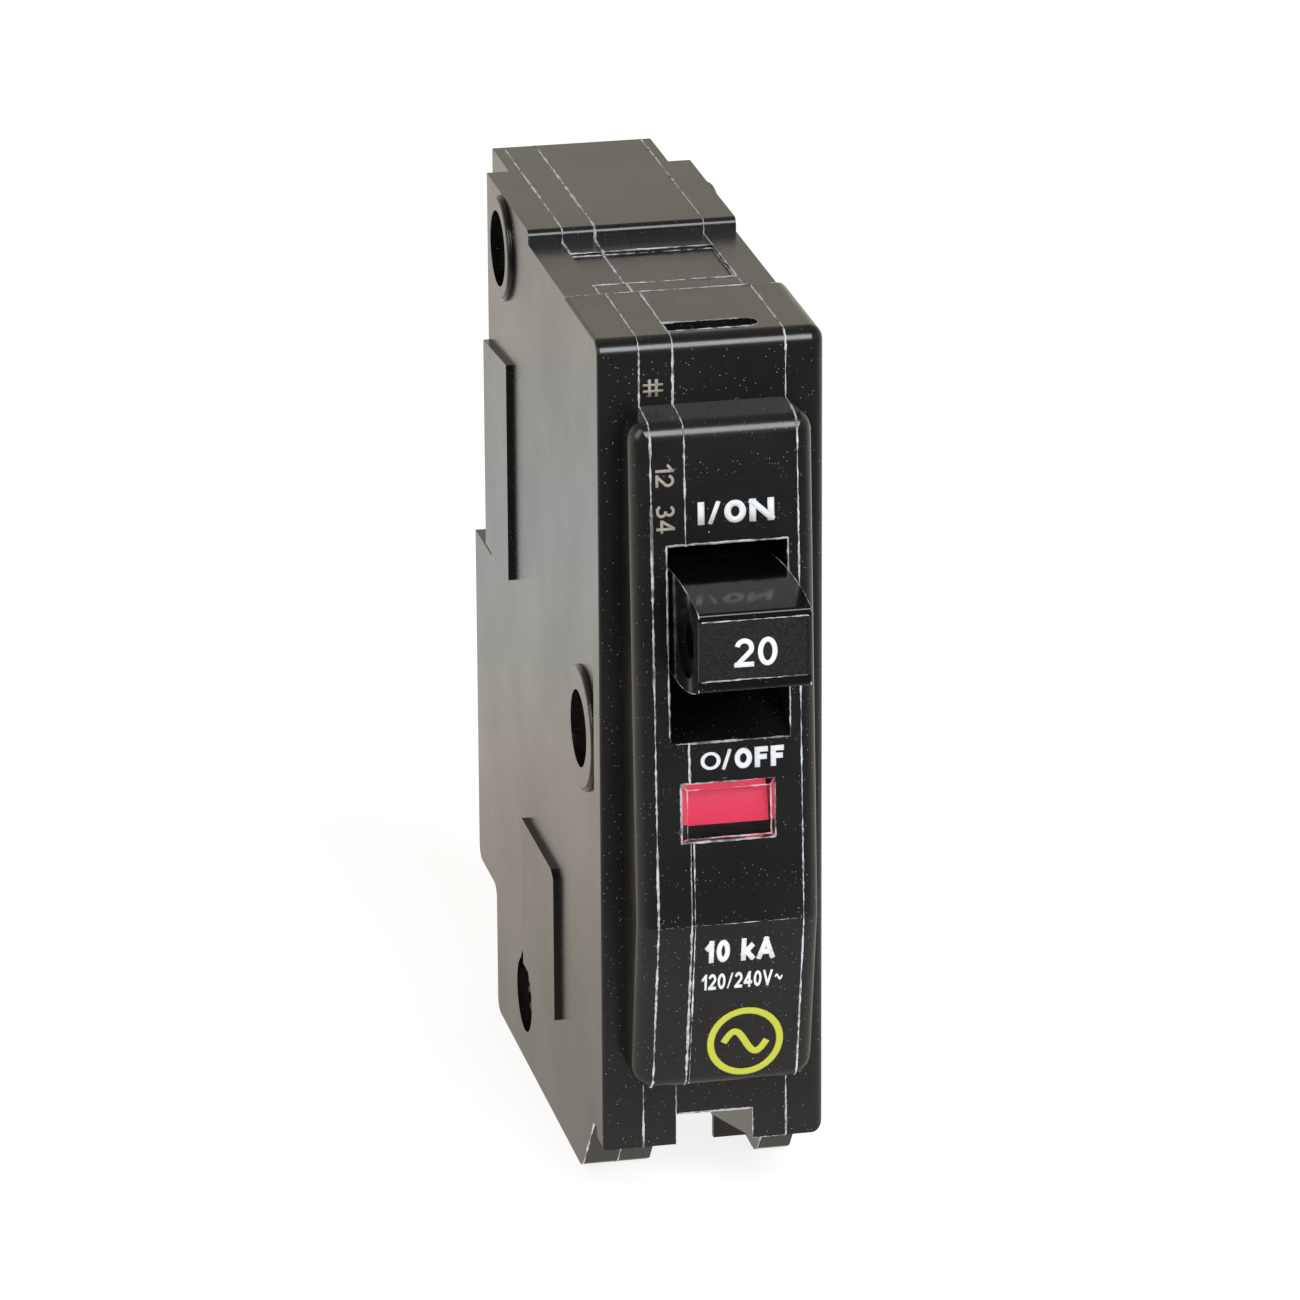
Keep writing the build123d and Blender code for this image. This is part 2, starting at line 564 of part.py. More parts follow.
def handle():
    x0, x1 = HANDLE_LEFT, HANDLE_RIGHT
    front, top, bottom = HANDLE_FRONT_Y, HANDLE_TOP, HANDLE_BOTTOM
    throat = PIVOT_Y - DRUM_R + 1.6
    belly = (front + 8.4, bottom - HANDLE_BELLY)
    root = bottom - HANDLE_BELLY - 0.2
    neck = top - 0.3
    outline = Line((front, top), (front, bottom))
    outline = outline + ThreePointArc((front, bottom), (front + 3.6, bottom - 0.65 * HANDLE_BELLY), belly)
    outline = outline + Polyline(belly, (throat, root), (PIVOT_Y, root), (PIVOT_Y, neck), (throat, neck))
    crest = ((front + throat) / 2, top + HANDLE_CROWN)
    outline = outline + ThreePointArc((throat, neck), crest, (front, top))
    stem = Pos(x0, 0, 0) * extrude(Plane.YZ * make_face(outline), amount=x1 - x0)
    nose = [e for e in stem.edges().filter_by(Axis.X) if e.center().Y < front + 0.1]
    stem = fillet(nose, 0.35)
    panel = block(x0 + 0.25, x1 - 0.25, front - 1, front + 0.12, bottom + 0.85, top - 0.65)
    body = stem - panel + rod_x(*PIVOT, DRUM_R, x0, x1)
    body = body + rod_x(*PIVOT, TRUNNION_R, -SKIN_INSIDE + 0.15, LINE_RIGHT - 0.15)
    body = body - rod_x(TIE_HOLE_Y, TIE_HOLE_Z, TIE_HOLE_R, x0 - 1, x1 + 1)
    for outside, floor in ((x0 - 1, x0 + TIE_DISH_DEPTH), (x1 + 1, x1 - TIE_DISH_DEPTH)):
        body = body - rod_x(TIE_HOLE_Y, TIE_HOLE_Z, TIE_DISH_R, *sorted((outside, floor)))
    half, reach = ARM_SLOT_HALF, DRUM_R + 1
    slot_front = ARM_PIN_Y - 3.9
    body = body - block(-half, half, slot_front, PIVOT_Y + reach, PIVOT_Z - reach, PIVOT_Z + reach)
    return body - rod_x(*ARM_PIN, ARM_PIN_R, x0 - 1, x1 + 1)


def arm_pin():
    return rod_x(*ARM_PIN, ARM_PIN_R, HANDLE_LEFT + 0.2, HANDLE_RIGHT - 0.2)


def open_pose(solid):
    """Carries the contact arm from its closed place to its place when tripped."""
    angle = -ARM_TURN_PER_HANDLE_TURN * HANDLE_ON_DEG
    y, z = ARM_PIN_CLOSED
    return Pos(0, *ARM_PIN) * Rot(angle, 0, 0) * Pos(0, -y, -z) * solid


MOVING_TOP = STRAP_LINE_Z - FIXED_CONTACT_THICK - CONTACT_GAP
ARM_TOP = MOVING_TOP - MOVING_CONTACT_THICK
SPRING_ON_ARM = (CONTACT_Y - 13.5, ARM_TOP - 4.6)
SPRING_POST_R = 0.6


def contact_arm():
    half = ARM_THICK / 2
    tip = (CONTACT_Y + 1.4, ARM_TOP - ARM_DEPTH / 2 - 0.2)
    body = link(ARM_PIN_CLOSED, tip, ARM_DEPTH, -half, half)
    body = body + rod_x(*ARM_PIN_CLOSED, 2.4, -half, half)
    body = body + block(-half, half, CONTACT_Y - 2.6, CONTACT_Y + 1.8, ARM_TOP - ARM_DEPTH + 0.4, ARM_TOP)
    y, z = SPRING_ON_ARM
    cheek = [(y - 1.2, z - 0.9), (y - 2.4, ARM_TOP - 2.6), (y + 2.4, ARM_TOP - 2.6), (y + 1.2, z - 0.9)]
    body = body + side_prism(cheek, -half, half)
    body = body - block(-half + 0.6, half - 0.6, y - 3.6, y + 3.6, z - 2.4, ARM_TOP - 2.9)
    body = body + rod_x(y, z, SPRING_POST_R, -half, half)
    body = body - rod_x(*ARM_PIN_CLOSED, ARM_PIN_R + RUNNING_GAP, -half - 1, half + 1)
    return open_pose(body)


def moving_contact():
    button = rod_z(0, CONTACT_Y, CONTACT_R, ARM_TOP, MOVING_TOP)
    rim = [e for e in button.edges() if abs(e.center().Z - MOVING_TOP) < 0.01]
    return open_pose(fillet(rim, 0.35))


def stationary_contact():
    button = rod_z(0, CONTACT_Y, CONTACT_R + 0.2, MOVING_TOP + CONTACT_GAP, STRAP_LINE_Z)
    rim = [e for e in button.edges() if abs(e.center().Z - MOVING_TOP - CONTACT_GAP) < 0.01]
    return fillet(rim, 0.35)


# ---------------------------------------------------------------- line side

JAW_FRONT = CASE_DEPTH - JAW_BACK_INSET
JAW_END = BACK_INSIDE - 1.5


def line_strap():
    body = block(-3.0, 3.0, CONTACT_Y - 3.0, JAW_FRONT, STRAP_LINE_Z, STRAP_LINE_Z + STRAP_THICK)
    return round_plan(body, 1.0)


def round_plan(body, radius):
    """Rounds the upright corners at a sheet part's front end."""
    front = body.bounding_box().min.Y
    return fillet([e for e in body.edges().filter_by(Axis.Z) if e.center().Y < front + 0.01], radius)


def jaw_finger_line(offset):
    """The outer side of the right finger, in plan, moved inwards by an offset."""
    pinch_y = JAW_END - 3.4
    return [
        (JAW_HALF_WIDTH - offset, JAW_FRONT),
        (JAW_HALF_WIDTH - offset, JAW_FRONT + 3.0),
        (JAW_PINCH + JAW_SHEET - offset, pinch_y),
        (JAW_MOUTH + JAW_SHEET - offset, JAW_END),
    ]


def line_jaw():
    """One strip of copper folded to two fingers that grip the bus stab."""
    web = block(-JAW_HALF_WIDTH, JAW_HALF_WIDTH, JAW_FRONT, JAW_FRONT + JAW_SHEET, JAW_BOTTOM, JAW_TOP)
    finger = plan_prism(jaw_finger_line(0) + jaw_finger_line(JAW_SHEET)[::-1], JAW_BOTTOM, JAW_TOP)
    return web + finger + mirror(finger, about=Plane.YZ)


def jaw_spring():
    """A steel clip that holds the jaw's fingers together from outside."""
    steel = 0.7
    outer = jaw_finger_line(-steel)[:3]
    inner = jaw_finger_line(0)[:3]
    low, high = JAW_BOTTOM + 2.5, JAW_TOP - 2.5
    arm = plan_prism(outer + inner[::-1], low, high)
    wide = JAW_HALF_WIDTH + steel
    back = block(-wide, wide, JAW_FRONT - steel, JAW_FRONT, STRAP_LINE_Z + STRAP_THICK + 0.2, high)
    return arm + mirror(arm, about=Plane.YZ) + back


def arc_plates():
    """Steel plates with a notch, stacked across the arc's path."""
    back, reach = CASE_DEPTH - 9.6, CONTACT_Y + 4.2 - ARM_PIN_CLOSED[0]
    plates = []
    for z in (30.4, 33.4, 36.4, 39.4, 42.4):
        drop = ARM_PIN_CLOSED[1] + 2.0 - z
        front = ARM_PIN_CLOSED[0] + sqrt(reach * reach - drop * drop)
        notch = [(-1.2, front - 1), (1.2, front - 1), (0, front + 2.2)]
        plates.append(block(-3.6, 3.6, front, back, z, z + 0.9) - plan_prism(notch, z - 1, z + 2))
    return Compound(children=plates)


def arc_walls():
    """Fibre side walls that hold the arc plates."""
    back, front = CASE_DEPTH - 9.6, CONTACT_Y - 1.2
    side = [(front, 29.4), (front, 43.0), (back, 45.0), (back, 29.4)]
    return Compound(children=[side_prism(side, -4.3, -3.6), side_prism(side, 3.6, 4.3)])


# ---------------------------------------------------------------- trip lever and flag

LEVER_RIGHT = LEVER_LEFT + LEVER_THICK
TIP_R = 1.7
SPRING_ON_LEVER = (15.4, 31.6)


def latched_tip():
    """The middle of the lever's tip when latched, just over the armature's ear."""
    return LEVER_PIVOT_Y - 1.3, LATCH_TOP + TIP_GAP + TIP_R


def trip_lever():
    tip = turned(latched_tip(), LEVER_PIVOT, -LEVER_SWING_DEG)
    root = (tip[0] + 0.8, tip[1] + 3.2)
    nose = (FLAG_PIVOT_Y + 2.2, 27.4)
    body = rod_x(*LEVER_PIVOT, 3.1, LEVER_LEFT, LEVER_RIGHT)
    body = body + link(LEVER_PIVOT, root, 4.4, LEVER_LEFT, LEVER_RIGHT)
    body = body + link(root, tip, 2 * TIP_R, LEVER_LEFT, LEVER_RIGHT)
    body = body + link(root, nose, 1.8, LEVER_LEFT, LEVER_RIGHT)
    body = body + rod_x(*SPRING_ON_LEVER, SPRING_POST_R, LEVER_RIGHT - 0.1, 0.8)
    return body - rod_x(*LEVER_PIVOT, LEVER_PIVOT_R + RUNNING_GAP, LEVER_LEFT - 1, LEVER_RIGHT + 1)


def toggle_spring():
    """The spring between lever and arm: a coil with a hook ring at each end, round a post."""
    y, z = SPRING_ON_ARM
    angle = -ARM_TURN_PER_HANDLE_TURN * HANDLE_ON_DEG
    moved = turned((y - ARM_PIN_CLOSED[0] + ARM_PIN_Y, z - ARM_PIN_CLOSED[1] + ARM_PIN_Z), ARM_PIN, angle)
    low, high = SPRING_ON_LEVER, moved
    length = hypot(high[0] - low[0], high[1] - low[1])
    uy, uz = (high[0] - low[0]) / length, (high[1] - low[1]) / length
    hook_r, wire, shank = 0.95, 0.22, 2.3
    start = (low[0] + uy * shank, low[1] + uz * shank)
    end = (high[0] - uy * shank, high[1] - uz * shank)
    body = coil_spring(start, end, hook_r, wire, 11)
    body = body + link(start, (low[0] + uy * hook_r, low[1] + uz * hook_r), 2 * wire, -wire, wire)
    body = body + link(end, (high[0] - uy * hook_r, high[1] - uz * hook_r), 2 * wire, -wire, wire)
    for y, z in (low, high):
        body = body + Pos(0, y, z) * Rot(0, 90, 0) * Torus(hook_r, wire)
    angle = degrees(atan2(uz, uy))
    for y, z in (start, end):
        bar = Pos(0, y, z) * Rot(angle, 0, 0) * rod_z(0, 0, wire, -hook_r, hook_r)
        body = body + bar
    return body


def trip_flag():
    """The red flag: a curved shield on a shaft, with a finger that the trip lever pushes."""
    left, right = WINDOW_LEFT - 0.2, WINDOW_RIGHT - 0.35
    low_deg, high_deg = FLAG_LOW_DEG, FLAG_HIGH_DEG

    def rim(radius, angle):
        return turned((FLAG_PIVOT_Y - radius, FLAG_PIVOT_Z), FLAG_PIVOT, -angle)

    middle = (low_deg + high_deg) / 2
    outline = ThreePointArc(rim(FLAG_R, low_deg), rim(FLAG_R, middle), rim(FLAG_R, high_deg))
    inner = FLAG_R - FLAG_THICK
    outline = outline + Line(rim(FLAG_R, high_deg), rim(inner, high_deg))
    outline = outline + ThreePointArc(rim(inner, high_deg), rim(inner, middle), rim(inner, low_deg))
    outline = outline + Line(rim(inner, low_deg), rim(FLAG_R, low_deg))
    shield = Pos(left, 0, 0) * extrude(Plane.YZ * make_face(outline), amount=right - left)
    spoke = [FLAG_PIVOT, rim(inner + 0.3, low_deg), rim(inner + 0.3, low_deg + 16)]
    spokes = side_prism(spoke, left, left + 0.8) + side_prism(spoke, right - 0.8, right)
    shaft = rod_x(*FLAG_PIVOT, FLAG_SHAFT_R, -SKIN_INSIDE - 0.3, LINE_RIGHT - 0.15)
    finger = link(FLAG_PIVOT, (FLAG_PIVOT_Y, FLAG_PIVOT_Z - 4.4), 1.8, LEVER_LEFT - 0.1, LEVER_RIGHT + 0.1)
    return shield + spokes + shaft + finger


# ---------------------------------------------------------------- thermal and magnetic trip

YOKE_BACK = YOKE_FRONT + YOKE_LENGTH
YOKE_TOP = BIMETAL_BOTTOM + BIMETAL_THICK + 3.5
ARMATURE_BOTTOM = YOKE_TOP + ARMATURE_GAP
ARMATURE_TOP = ARMATURE_BOTTOM + ARMATURE_THICK
ARMATURE_PIN = (YOKE_BACK + 4.5, YOKE_TOP - 1.5)


def bimetal():
    half, low = BIMETAL_WIDTH / 2, BIMETAL_BOTTOM
    return round_plan(block(-half, half, BIMETAL_FRONT, BIMETAL_BACK, low, low + BIMETAL_THICK), 1.0)


def magnet_yoke():
    low = BIMETAL_BOTTOM - YOKE_THICK
    body = block(-YOKE_HALF, YOKE_HALF, YOKE_FRONT, YOKE_BACK, low, BIMETAL_BOTTOM)
    for x0 in (-YOKE_HALF, YOKE_HALF - YOKE_THICK):
        x1 = x0 + YOKE_THICK
        body = body + block(x0, x1, YOKE_FRONT, YOKE_BACK, low, YOKE_TOP)
        body = body + link((YOKE_BACK - 2, ARMATURE_PIN[1]), ARMATURE_PIN, 3.0, x0, x1)
    return body - rod_x(*ARMATURE_PIN, ARMATURE_PIN_R, -YOKE_HALF - 1, YOKE_HALF + 1)


def armature_pin():
    return rod_x(*ARMATURE_PIN, ARMATURE_PIN_R, -YOKE_HALF + 0.1, YOKE_HALF - 0.1)


def armature():
    """The hinged plate that the magnet pulls down, with the ear that holds the trip lever."""
    front = 20.0
    body = block(-4.4, 4.4, front, ARMATURE_PIN[0] + 1.2, ARMATURE_BOTTOM, ARMATURE_TOP)
    ear_left, ear_right = LEVER_LEFT - 0.3, LEVER_RIGHT + 0.4
    body = body + block(ear_left, -4.3, front, front + 1.2, ARMATURE_BOTTOM, ARMATURE_TOP)
    body = body + block(ear_left, ear_right, front, front + 1.2, ARMATURE_BOTTOM, LATCH_TOP)
    for x0 in (-3.25, 2.25):
        body = body + link(ARMATURE_PIN, (ARMATURE_PIN[0], ARMATURE_TOP - 1.2), 2.4, x0, x0 + 1.0)
    return body - rod_x(*ARMATURE_PIN, ARMATURE_PIN_R + RUNNING_GAP, -5, 5)


def armature_spring():
    y = YOKE_FRONT + 2.6
    wire = 0.18
    low, high = BIMETAL_BOTTOM + BIMETAL_THICK + wire, ARMATURE_BOTTOM - wire - 0.02
    return coil_spring((y, low), (y, high), 1.0, wire, 5)


def calibration_screw():
    y = BIMETAL_BACK - 7.0
    head_top = STRAP_TOP - STRAP_THICK - 2.4
    body = rod_z(0, y, 1.2, head_top - 0.1, BIMETAL_BOTTOM)
    head = rod_z(0, y, 1.9, head_top - 1.2, head_top)
    return body + head - block(-0.3, 0.3, y - 3, y + 3, head_top - 2, head_top - 0.7)


def load_strap():
    low, back = STRAP_TOP - STRAP_THICK, BIMETAL_BACK
    body = block(-2.5, 2.5, PLATE_FRONT, back, low, STRAP_TOP)
    body = body + block(-2.5, 2.5, back - STRAP_THICK, back, low, BIMETAL_BOTTOM)
    return body - rod_z(0, BIMETAL_BACK - 7.0, 1.2, STRAP_TOP - 3, STRAP_TOP + 1)


def braid():
    """Flexible copper rope from the contact arm to the free end of the bimetal."""
    rope_r, x = 0.8, 2.0
    foot = BIMETAL_BOTTOM + BIMETAL_THICK
    points = [(x, 17.4, 46.2), (x, 16.7, 40.0), (x, 15.9, 33.0), (x, 16.2, 26.0)]
    points += [(x, 18.2, foot + 3.2), (x, 18.2, foot)]
    path = FilletPolyline(*points, radius=2.0)
    section = Plane(origin=path @ 0, z_dir=path % 0) * Circle(rope_r)
    return sweep(section, path=path)


# ---------------------------------------------------------------- wire terminal


def terminal_plate():
    half = CHAMBER_HALF - 0.2
    body = block(-half, half, PLATE_FRONT, PLATE_BACK, -4.4, CHAMBER_TOP - 0.1)
    body = body + block(-2.5, 2.5, PLATE_FRONT, PLATE_BACK, CHAMBER_TOP - 0.2, STRAP_TOP - STRAP_THICK)
    return body - rod_y(0, 0, SCREW_R + RUNNING_GAP, PLATE_FRONT - 1, PLATE_BACK + 1)


def wire_clamp():
    """The square clamp plate under the screw's head."""
    half = CHAMBER_HALF - 0.4
    body = block(-half, half, CLAMP_FRONT, CLAMP_FRONT + CLAMP_THICK, -half, CHAMBER_TOP - 0.7)
    return body - rod_y(0, 0, SCREW_R + RUNNING_GAP, CLAMP_FRONT - 1, CLAMP_FRONT + CLAMP_THICK + 1)


def terminal_screw():
    """Pan-head screw with a straight and a cross slot."""
    head = rod_y(0, 0, SCREW_HEAD_R, SCREW_HEAD_FRONT, CLAMP_FRONT)
    rim = [e for e in head.edges() if abs(e.center().Y - SCREW_HEAD_FRONT) < 0.01]
    body = fillet(rim, 0.9) + rod_y(0, 0, SCREW_R, CLAMP_FRONT - 0.1, PLATE_BACK)
    slot_floor, half = SCREW_HEAD_FRONT + 1.2, 0.45
    body = body - block(-SCREW_HEAD_R, SCREW_HEAD_R, SCREW_HEAD_FRONT - 1, slot_floor, -half, half)
    return body - block(-half, half, SCREW_HEAD_FRONT - 1, slot_floor, -1.9, 1.9)


NODES = {
    "left_cover": left_cover,
    "case_spacer": case_spacer,
    "main_case": main_case,
    "right_cover": right_cover,
    "case_rivets": case_rivets,
    "window_lens": window_lens,
    "handle": handle,
    "arm_pin": arm_pin,
    "contact_arm": contact_arm,
    "moving_contact": moving_contact,
    "stationary_contact": stationary_contact,
    "line_strap": line_strap,
    "line_jaw": line_jaw,
    "jaw_spring": jaw_spring,
    "arc_plates": arc_plates,
    "arc_walls": arc_walls,
    "trip_lever": trip_lever,
    "toggle_spring": toggle_spring,
    "trip_flag": trip_flag,
    "bimetal": bimetal,
    "magnet_yoke": magnet_yoke,
    "armature_pin": armature_pin,
    "armature": armature,
    "armature_spring": armature_spring,
    "calibration_screw": calibration_screw,
    "load_strap": load_strap,
    "braid": braid,
    "terminal_plate": terminal_plate,
    "wire_clamp": wire_clamp,
    "terminal_screw": terminal_screw,
}

for node, make in NODES.items():
    export_step(make(), f"parts/{node}.step")
    print(node)
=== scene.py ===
import random
from math import cos, pi, radians, sin

import bmesh
import bpy
from mathutils import Matrix, Vector
from mathutils.bvhtree import BVHTree


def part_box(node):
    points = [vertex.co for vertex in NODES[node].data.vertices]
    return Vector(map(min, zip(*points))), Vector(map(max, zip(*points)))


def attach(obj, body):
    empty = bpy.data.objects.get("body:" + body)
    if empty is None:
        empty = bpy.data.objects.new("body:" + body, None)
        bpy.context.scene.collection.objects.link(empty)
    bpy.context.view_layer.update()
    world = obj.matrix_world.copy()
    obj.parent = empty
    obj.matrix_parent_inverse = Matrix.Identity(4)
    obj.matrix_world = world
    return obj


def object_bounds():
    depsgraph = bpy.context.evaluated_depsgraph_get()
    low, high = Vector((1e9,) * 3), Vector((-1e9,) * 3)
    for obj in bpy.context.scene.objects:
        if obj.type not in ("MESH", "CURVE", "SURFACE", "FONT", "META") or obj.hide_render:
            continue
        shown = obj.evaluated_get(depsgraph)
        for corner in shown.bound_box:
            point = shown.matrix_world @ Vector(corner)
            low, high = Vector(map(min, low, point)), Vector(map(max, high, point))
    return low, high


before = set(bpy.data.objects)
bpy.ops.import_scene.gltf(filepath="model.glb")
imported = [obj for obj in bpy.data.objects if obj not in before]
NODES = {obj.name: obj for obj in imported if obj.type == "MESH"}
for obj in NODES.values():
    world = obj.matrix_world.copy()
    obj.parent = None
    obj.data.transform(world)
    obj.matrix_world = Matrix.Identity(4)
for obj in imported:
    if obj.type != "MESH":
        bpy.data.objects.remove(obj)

MM = 0.001
CAD_LOW, CAD_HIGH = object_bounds()


# ---------------------------------------------------------------- studio
# The breaker stands on its wire end on a plain white light table, with a soft box above the viewer and one at
# its left. Behind the table is a warm white wall, and the room above and in front is dim.

CAMERA_LENS, CAMERA_SENSOR = 227.8, 36.0
CAMERA_PLACE = Vector((-137.555, -625.616, 269.223)) * MM
CAMERA_YAW, CAMERA_PITCH, CAMERA_ROLL = radians(11.94), radians(19.38), radians(-0.338)

camera_data = bpy.data.cameras.new("camera")
camera_data.sensor_width = CAMERA_SENSOR
camera_data.lens = CAMERA_LENS
camera_data.clip_end = 10.0
camera = bpy.data.objects.new("camera", camera_data)
bpy.context.scene.collection.objects.link(camera)
bpy.context.scene.camera = camera
camera.matrix_world = (
    Matrix.Translation(CAMERA_PLACE)
    @ Matrix.Rotation(-CAMERA_YAW, 4, "Z")
    @ Matrix.Rotation(pi / 2 - CAMERA_PITCH, 4, "X")
    @ Matrix.Rotation(CAMERA_ROLL, 4, "Z")
)


def node_material(name):
    """A new material, with its Principled shader and its node tree."""
    material = bpy.data.materials.new(name)
    material.use_nodes = True
    tree = material.node_tree
    return material, tree.nodes["Principled BSDF"], tree


def add(tree, kind, **settings):
    """Adds a shader node. A setting is a property of the node, or the value of the input of that name."""
    node = tree.nodes.new(kind)
    for key, value in settings.items():
        if hasattr(node, key):
            setattr(node, key, value)
        else:
            node.inputs[key.replace("_", " ")].default_value = value
    return node


def flat_sheet(name, low_x, high_x, low_y, high_y, z):
    """A flat rectangle, facing up."""
    bm = bmesh.new()
    bmesh.ops.create_grid(bm, x_segments=1, y_segments=1, size=0.5)
    bmesh.ops.scale(bm, vec=(high_x - low_x, high_y - low_y, 1), verts=bm.verts)
    bmesh.ops.translate(bm, vec=((low_x + high_x) / 2, (low_y + high_y) / 2, z), verts=bm.verts)
    mesh = bpy.data.meshes.new(name)
    bm.to_mesh(mesh)
    bm.free()
    sheet = bpy.data.objects.new(name, mesh)
    bpy.context.scene.collection.objects.link(sheet)
    return sheet


TABLE_GREY, TABLE_PALE = (0.33, 0.33, 0.33, 1), (0.36, 0.36, 0.36, 1)
TABLE_GLOW = 0.86

table_white_and_painted_reflection, shader, tree = node_material("table_white_and_painted_reflection")
shader.inputs["Roughness"].default_value = 0.8
shader.inputs["Specular IOR Level"].default_value = 0.0
place = add(tree, "ShaderNodeTexCoord")
mottle = add(tree, "ShaderNodeTexNoise", Scale=3.0, Detail=3.0)
tone = add(tree, "ShaderNodeValToRGB")
tone.color_ramp.elements[0].color = TABLE_GREY
tone.color_ramp.elements[1].color = TABLE_PALE
tree.links.new(place.outputs["Object"], mottle.inputs["Vector"])
tree.links.new(mottle.outputs["Fac"], tone.inputs["Fac"])
tree.links.new(tone.outputs["Color"], shader.inputs["Base Color"])
shader.inputs["Emission Color"].default_value = (1.0, 0.995, 0.99, 1)
shader.inputs["Emission Strength"].default_value = TABLE_GLOW

# Painted reflection: glossy rays see the table as painted bands, dark towards the viewer and warm white
# behind.
PAINTED_REFLECTION_BANDS = (
    (-0.3, (0.07, 0.07, 0.075)),
    (-0.085, (0.22, 0.22, 0.225)),
    (-0.02, (0.6, 0.58, 0.56)),
    (0.06, (0.6, 0.54, 0.44)),
    (0.17, (1.4, 1.28, 1.17)),
    (0.26, (0.9, 0.83, 0.75)),
)
band_low, band_high = PAINTED_REFLECTION_BANDS[0][0], PAINTED_REFLECTION_BANDS[-1][0]
split = add(tree, "ShaderNodeSeparateXYZ")
along = add(tree, "ShaderNodeMapRange", From_Min=band_low, From_Max=band_high)
bands = add(tree, "ShaderNodeValToRGB")
bands.color_ramp.interpolation = "B_SPLINE"
for index, (y, colour) in enumerate(PAINTED_REFLECTION_BANDS):
    position = (y - band_low) / (band_high - band_low)
    stops = bands.color_ramp.elements
    stop = stops[index] if index < 2 else stops.new(position)
    stop.position = position
    stop.color = (*colour, 1)
painted_reflection = add(tree, "ShaderNodeEmission")
path = add(tree, "ShaderNodeLightPath")
choose = add(tree, "ShaderNodeMixShader")
tree.links.new(place.outputs["Object"], split.inputs["Vector"])
tree.links.new(split.outputs["Y"], along.inputs["Value"])
tree.links.new(along.outputs["Result"], bands.inputs["Fac"])
tree.links.new(bands.outputs["Color"], painted_reflection.inputs["Color"])
tree.links.new(path.outputs["Is Glossy Ray"], choose.inputs["Fac"])
tree.links.new(shader.outputs["BSDF"], choose.inputs[1])
tree.links.new(painted_reflection.outputs["Emission"], choose.inputs[2])
tree.links.new(choose.outputs["Shader"], tree.nodes["Material Output"].inputs["Surface"])
table = flat_sheet("table", -4, 4, -4, 6, CAD_LOW.z)
table.data.materials.append(table_white_and_painted_reflection)

# The white wall behind is bright to a height, and the room darkens above it and towards the viewer.
WALL_COLOUR = (1.0, 0.93, 0.79, 1)
WALL_STRENGTH, ROOM_STRENGTH = 0.74, 0.3

world = bpy.data.worlds.new("tent")
world.use_nodes = True
bpy.context.scene.world = world
tree = world.node_tree
background = tree.nodes["Background"]
direction = add(tree, "ShaderNodeTexCoord")
split = add(tree, "ShaderNodeSeparateXYZ")
low_wall = add(
    tree, "ShaderNodeMapRange", From_Min=0.3, From_Max=0.62, To_Min=WALL_STRENGTH, To_Max=ROOM_STRENGTH
)
depth = add(tree, "ShaderNodeMapRange", From_Min=-0.6, From_Max=0.5, To_Min=0.3, To_Max=1.0)
brightness = add(tree, "ShaderNodeMath", operation="MULTIPLY")
tree.links.new(direction.outputs["Generated"], split.inputs["Vector"])
tree.links.new(split.outputs["Z"], low_wall.inputs["Value"])
tree.links.new(split.outputs["Y"], depth.inputs["Value"])
tree.links.new(low_wall.outputs["Result"], brightness.inputs[0])
tree.links.new(depth.outputs["Result"], brightness.inputs[1])
tree.links.new(brightness.outputs["Value"], background.inputs["Strength"])
background.inputs["Color"].default_value = WALL_COLOUR


def soft_box(name, place, target, size, power, colour):
    """A square soft box at a place, facing a target."""
    data = bpy.data.lights.new(name, "AREA")
    data.size = size
    data.energy = power
    data.color = colour
    lamp = bpy.data.objects.new(name, data)
    bpy.context.scene.collection.objects.link(lamp)
    aim = (Vector(target) - Vector(place)).to_track_quat("-Z", "Y")
    lamp.matrix_world = Matrix.Translation(place) @ aim.to_matrix().to_4x4()


soft_box("front_box", (0.18, -0.76, 0.66), (0, 0, 0.04), 0.5, 7.2, (0.92, 0.96, 1.0))
soft_box("left_box", (-0.9, -0.35, 0.5), (0, 0.02, 0.04), 0.5, 2.4, (1.0, 0.97, 0.93))
bpy.context.scene.view_settings.view_transform = "Standard"


# ---------------------------------------------------------------- case mouldings
# Left cover, narrow spacer, main case and right cover: four mouldings of black phenolic, side by side.
# The compound is glossy from the mould, a little dusty, with fine scuffs and a cloudy film on the front.


def effect_group(name, inputs, outputs):
    """An empty shader node group with the named number inputs and outputs."""
    group = bpy.data.node_groups.new(name, "ShaderNodeTree")
    for title, value in inputs:
        socket = group.interface.new_socket(name=title, in_out="INPUT", socket_type="NodeSocketFloat")
        socket.default_value = value
    for title in outputs:
        group.interface.new_socket(name=title, in_out="OUTPUT", socket_type="NodeSocketFloat")
    return group, add(group, "NodeGroupInput"), add(group, "NodeGroupOutput")


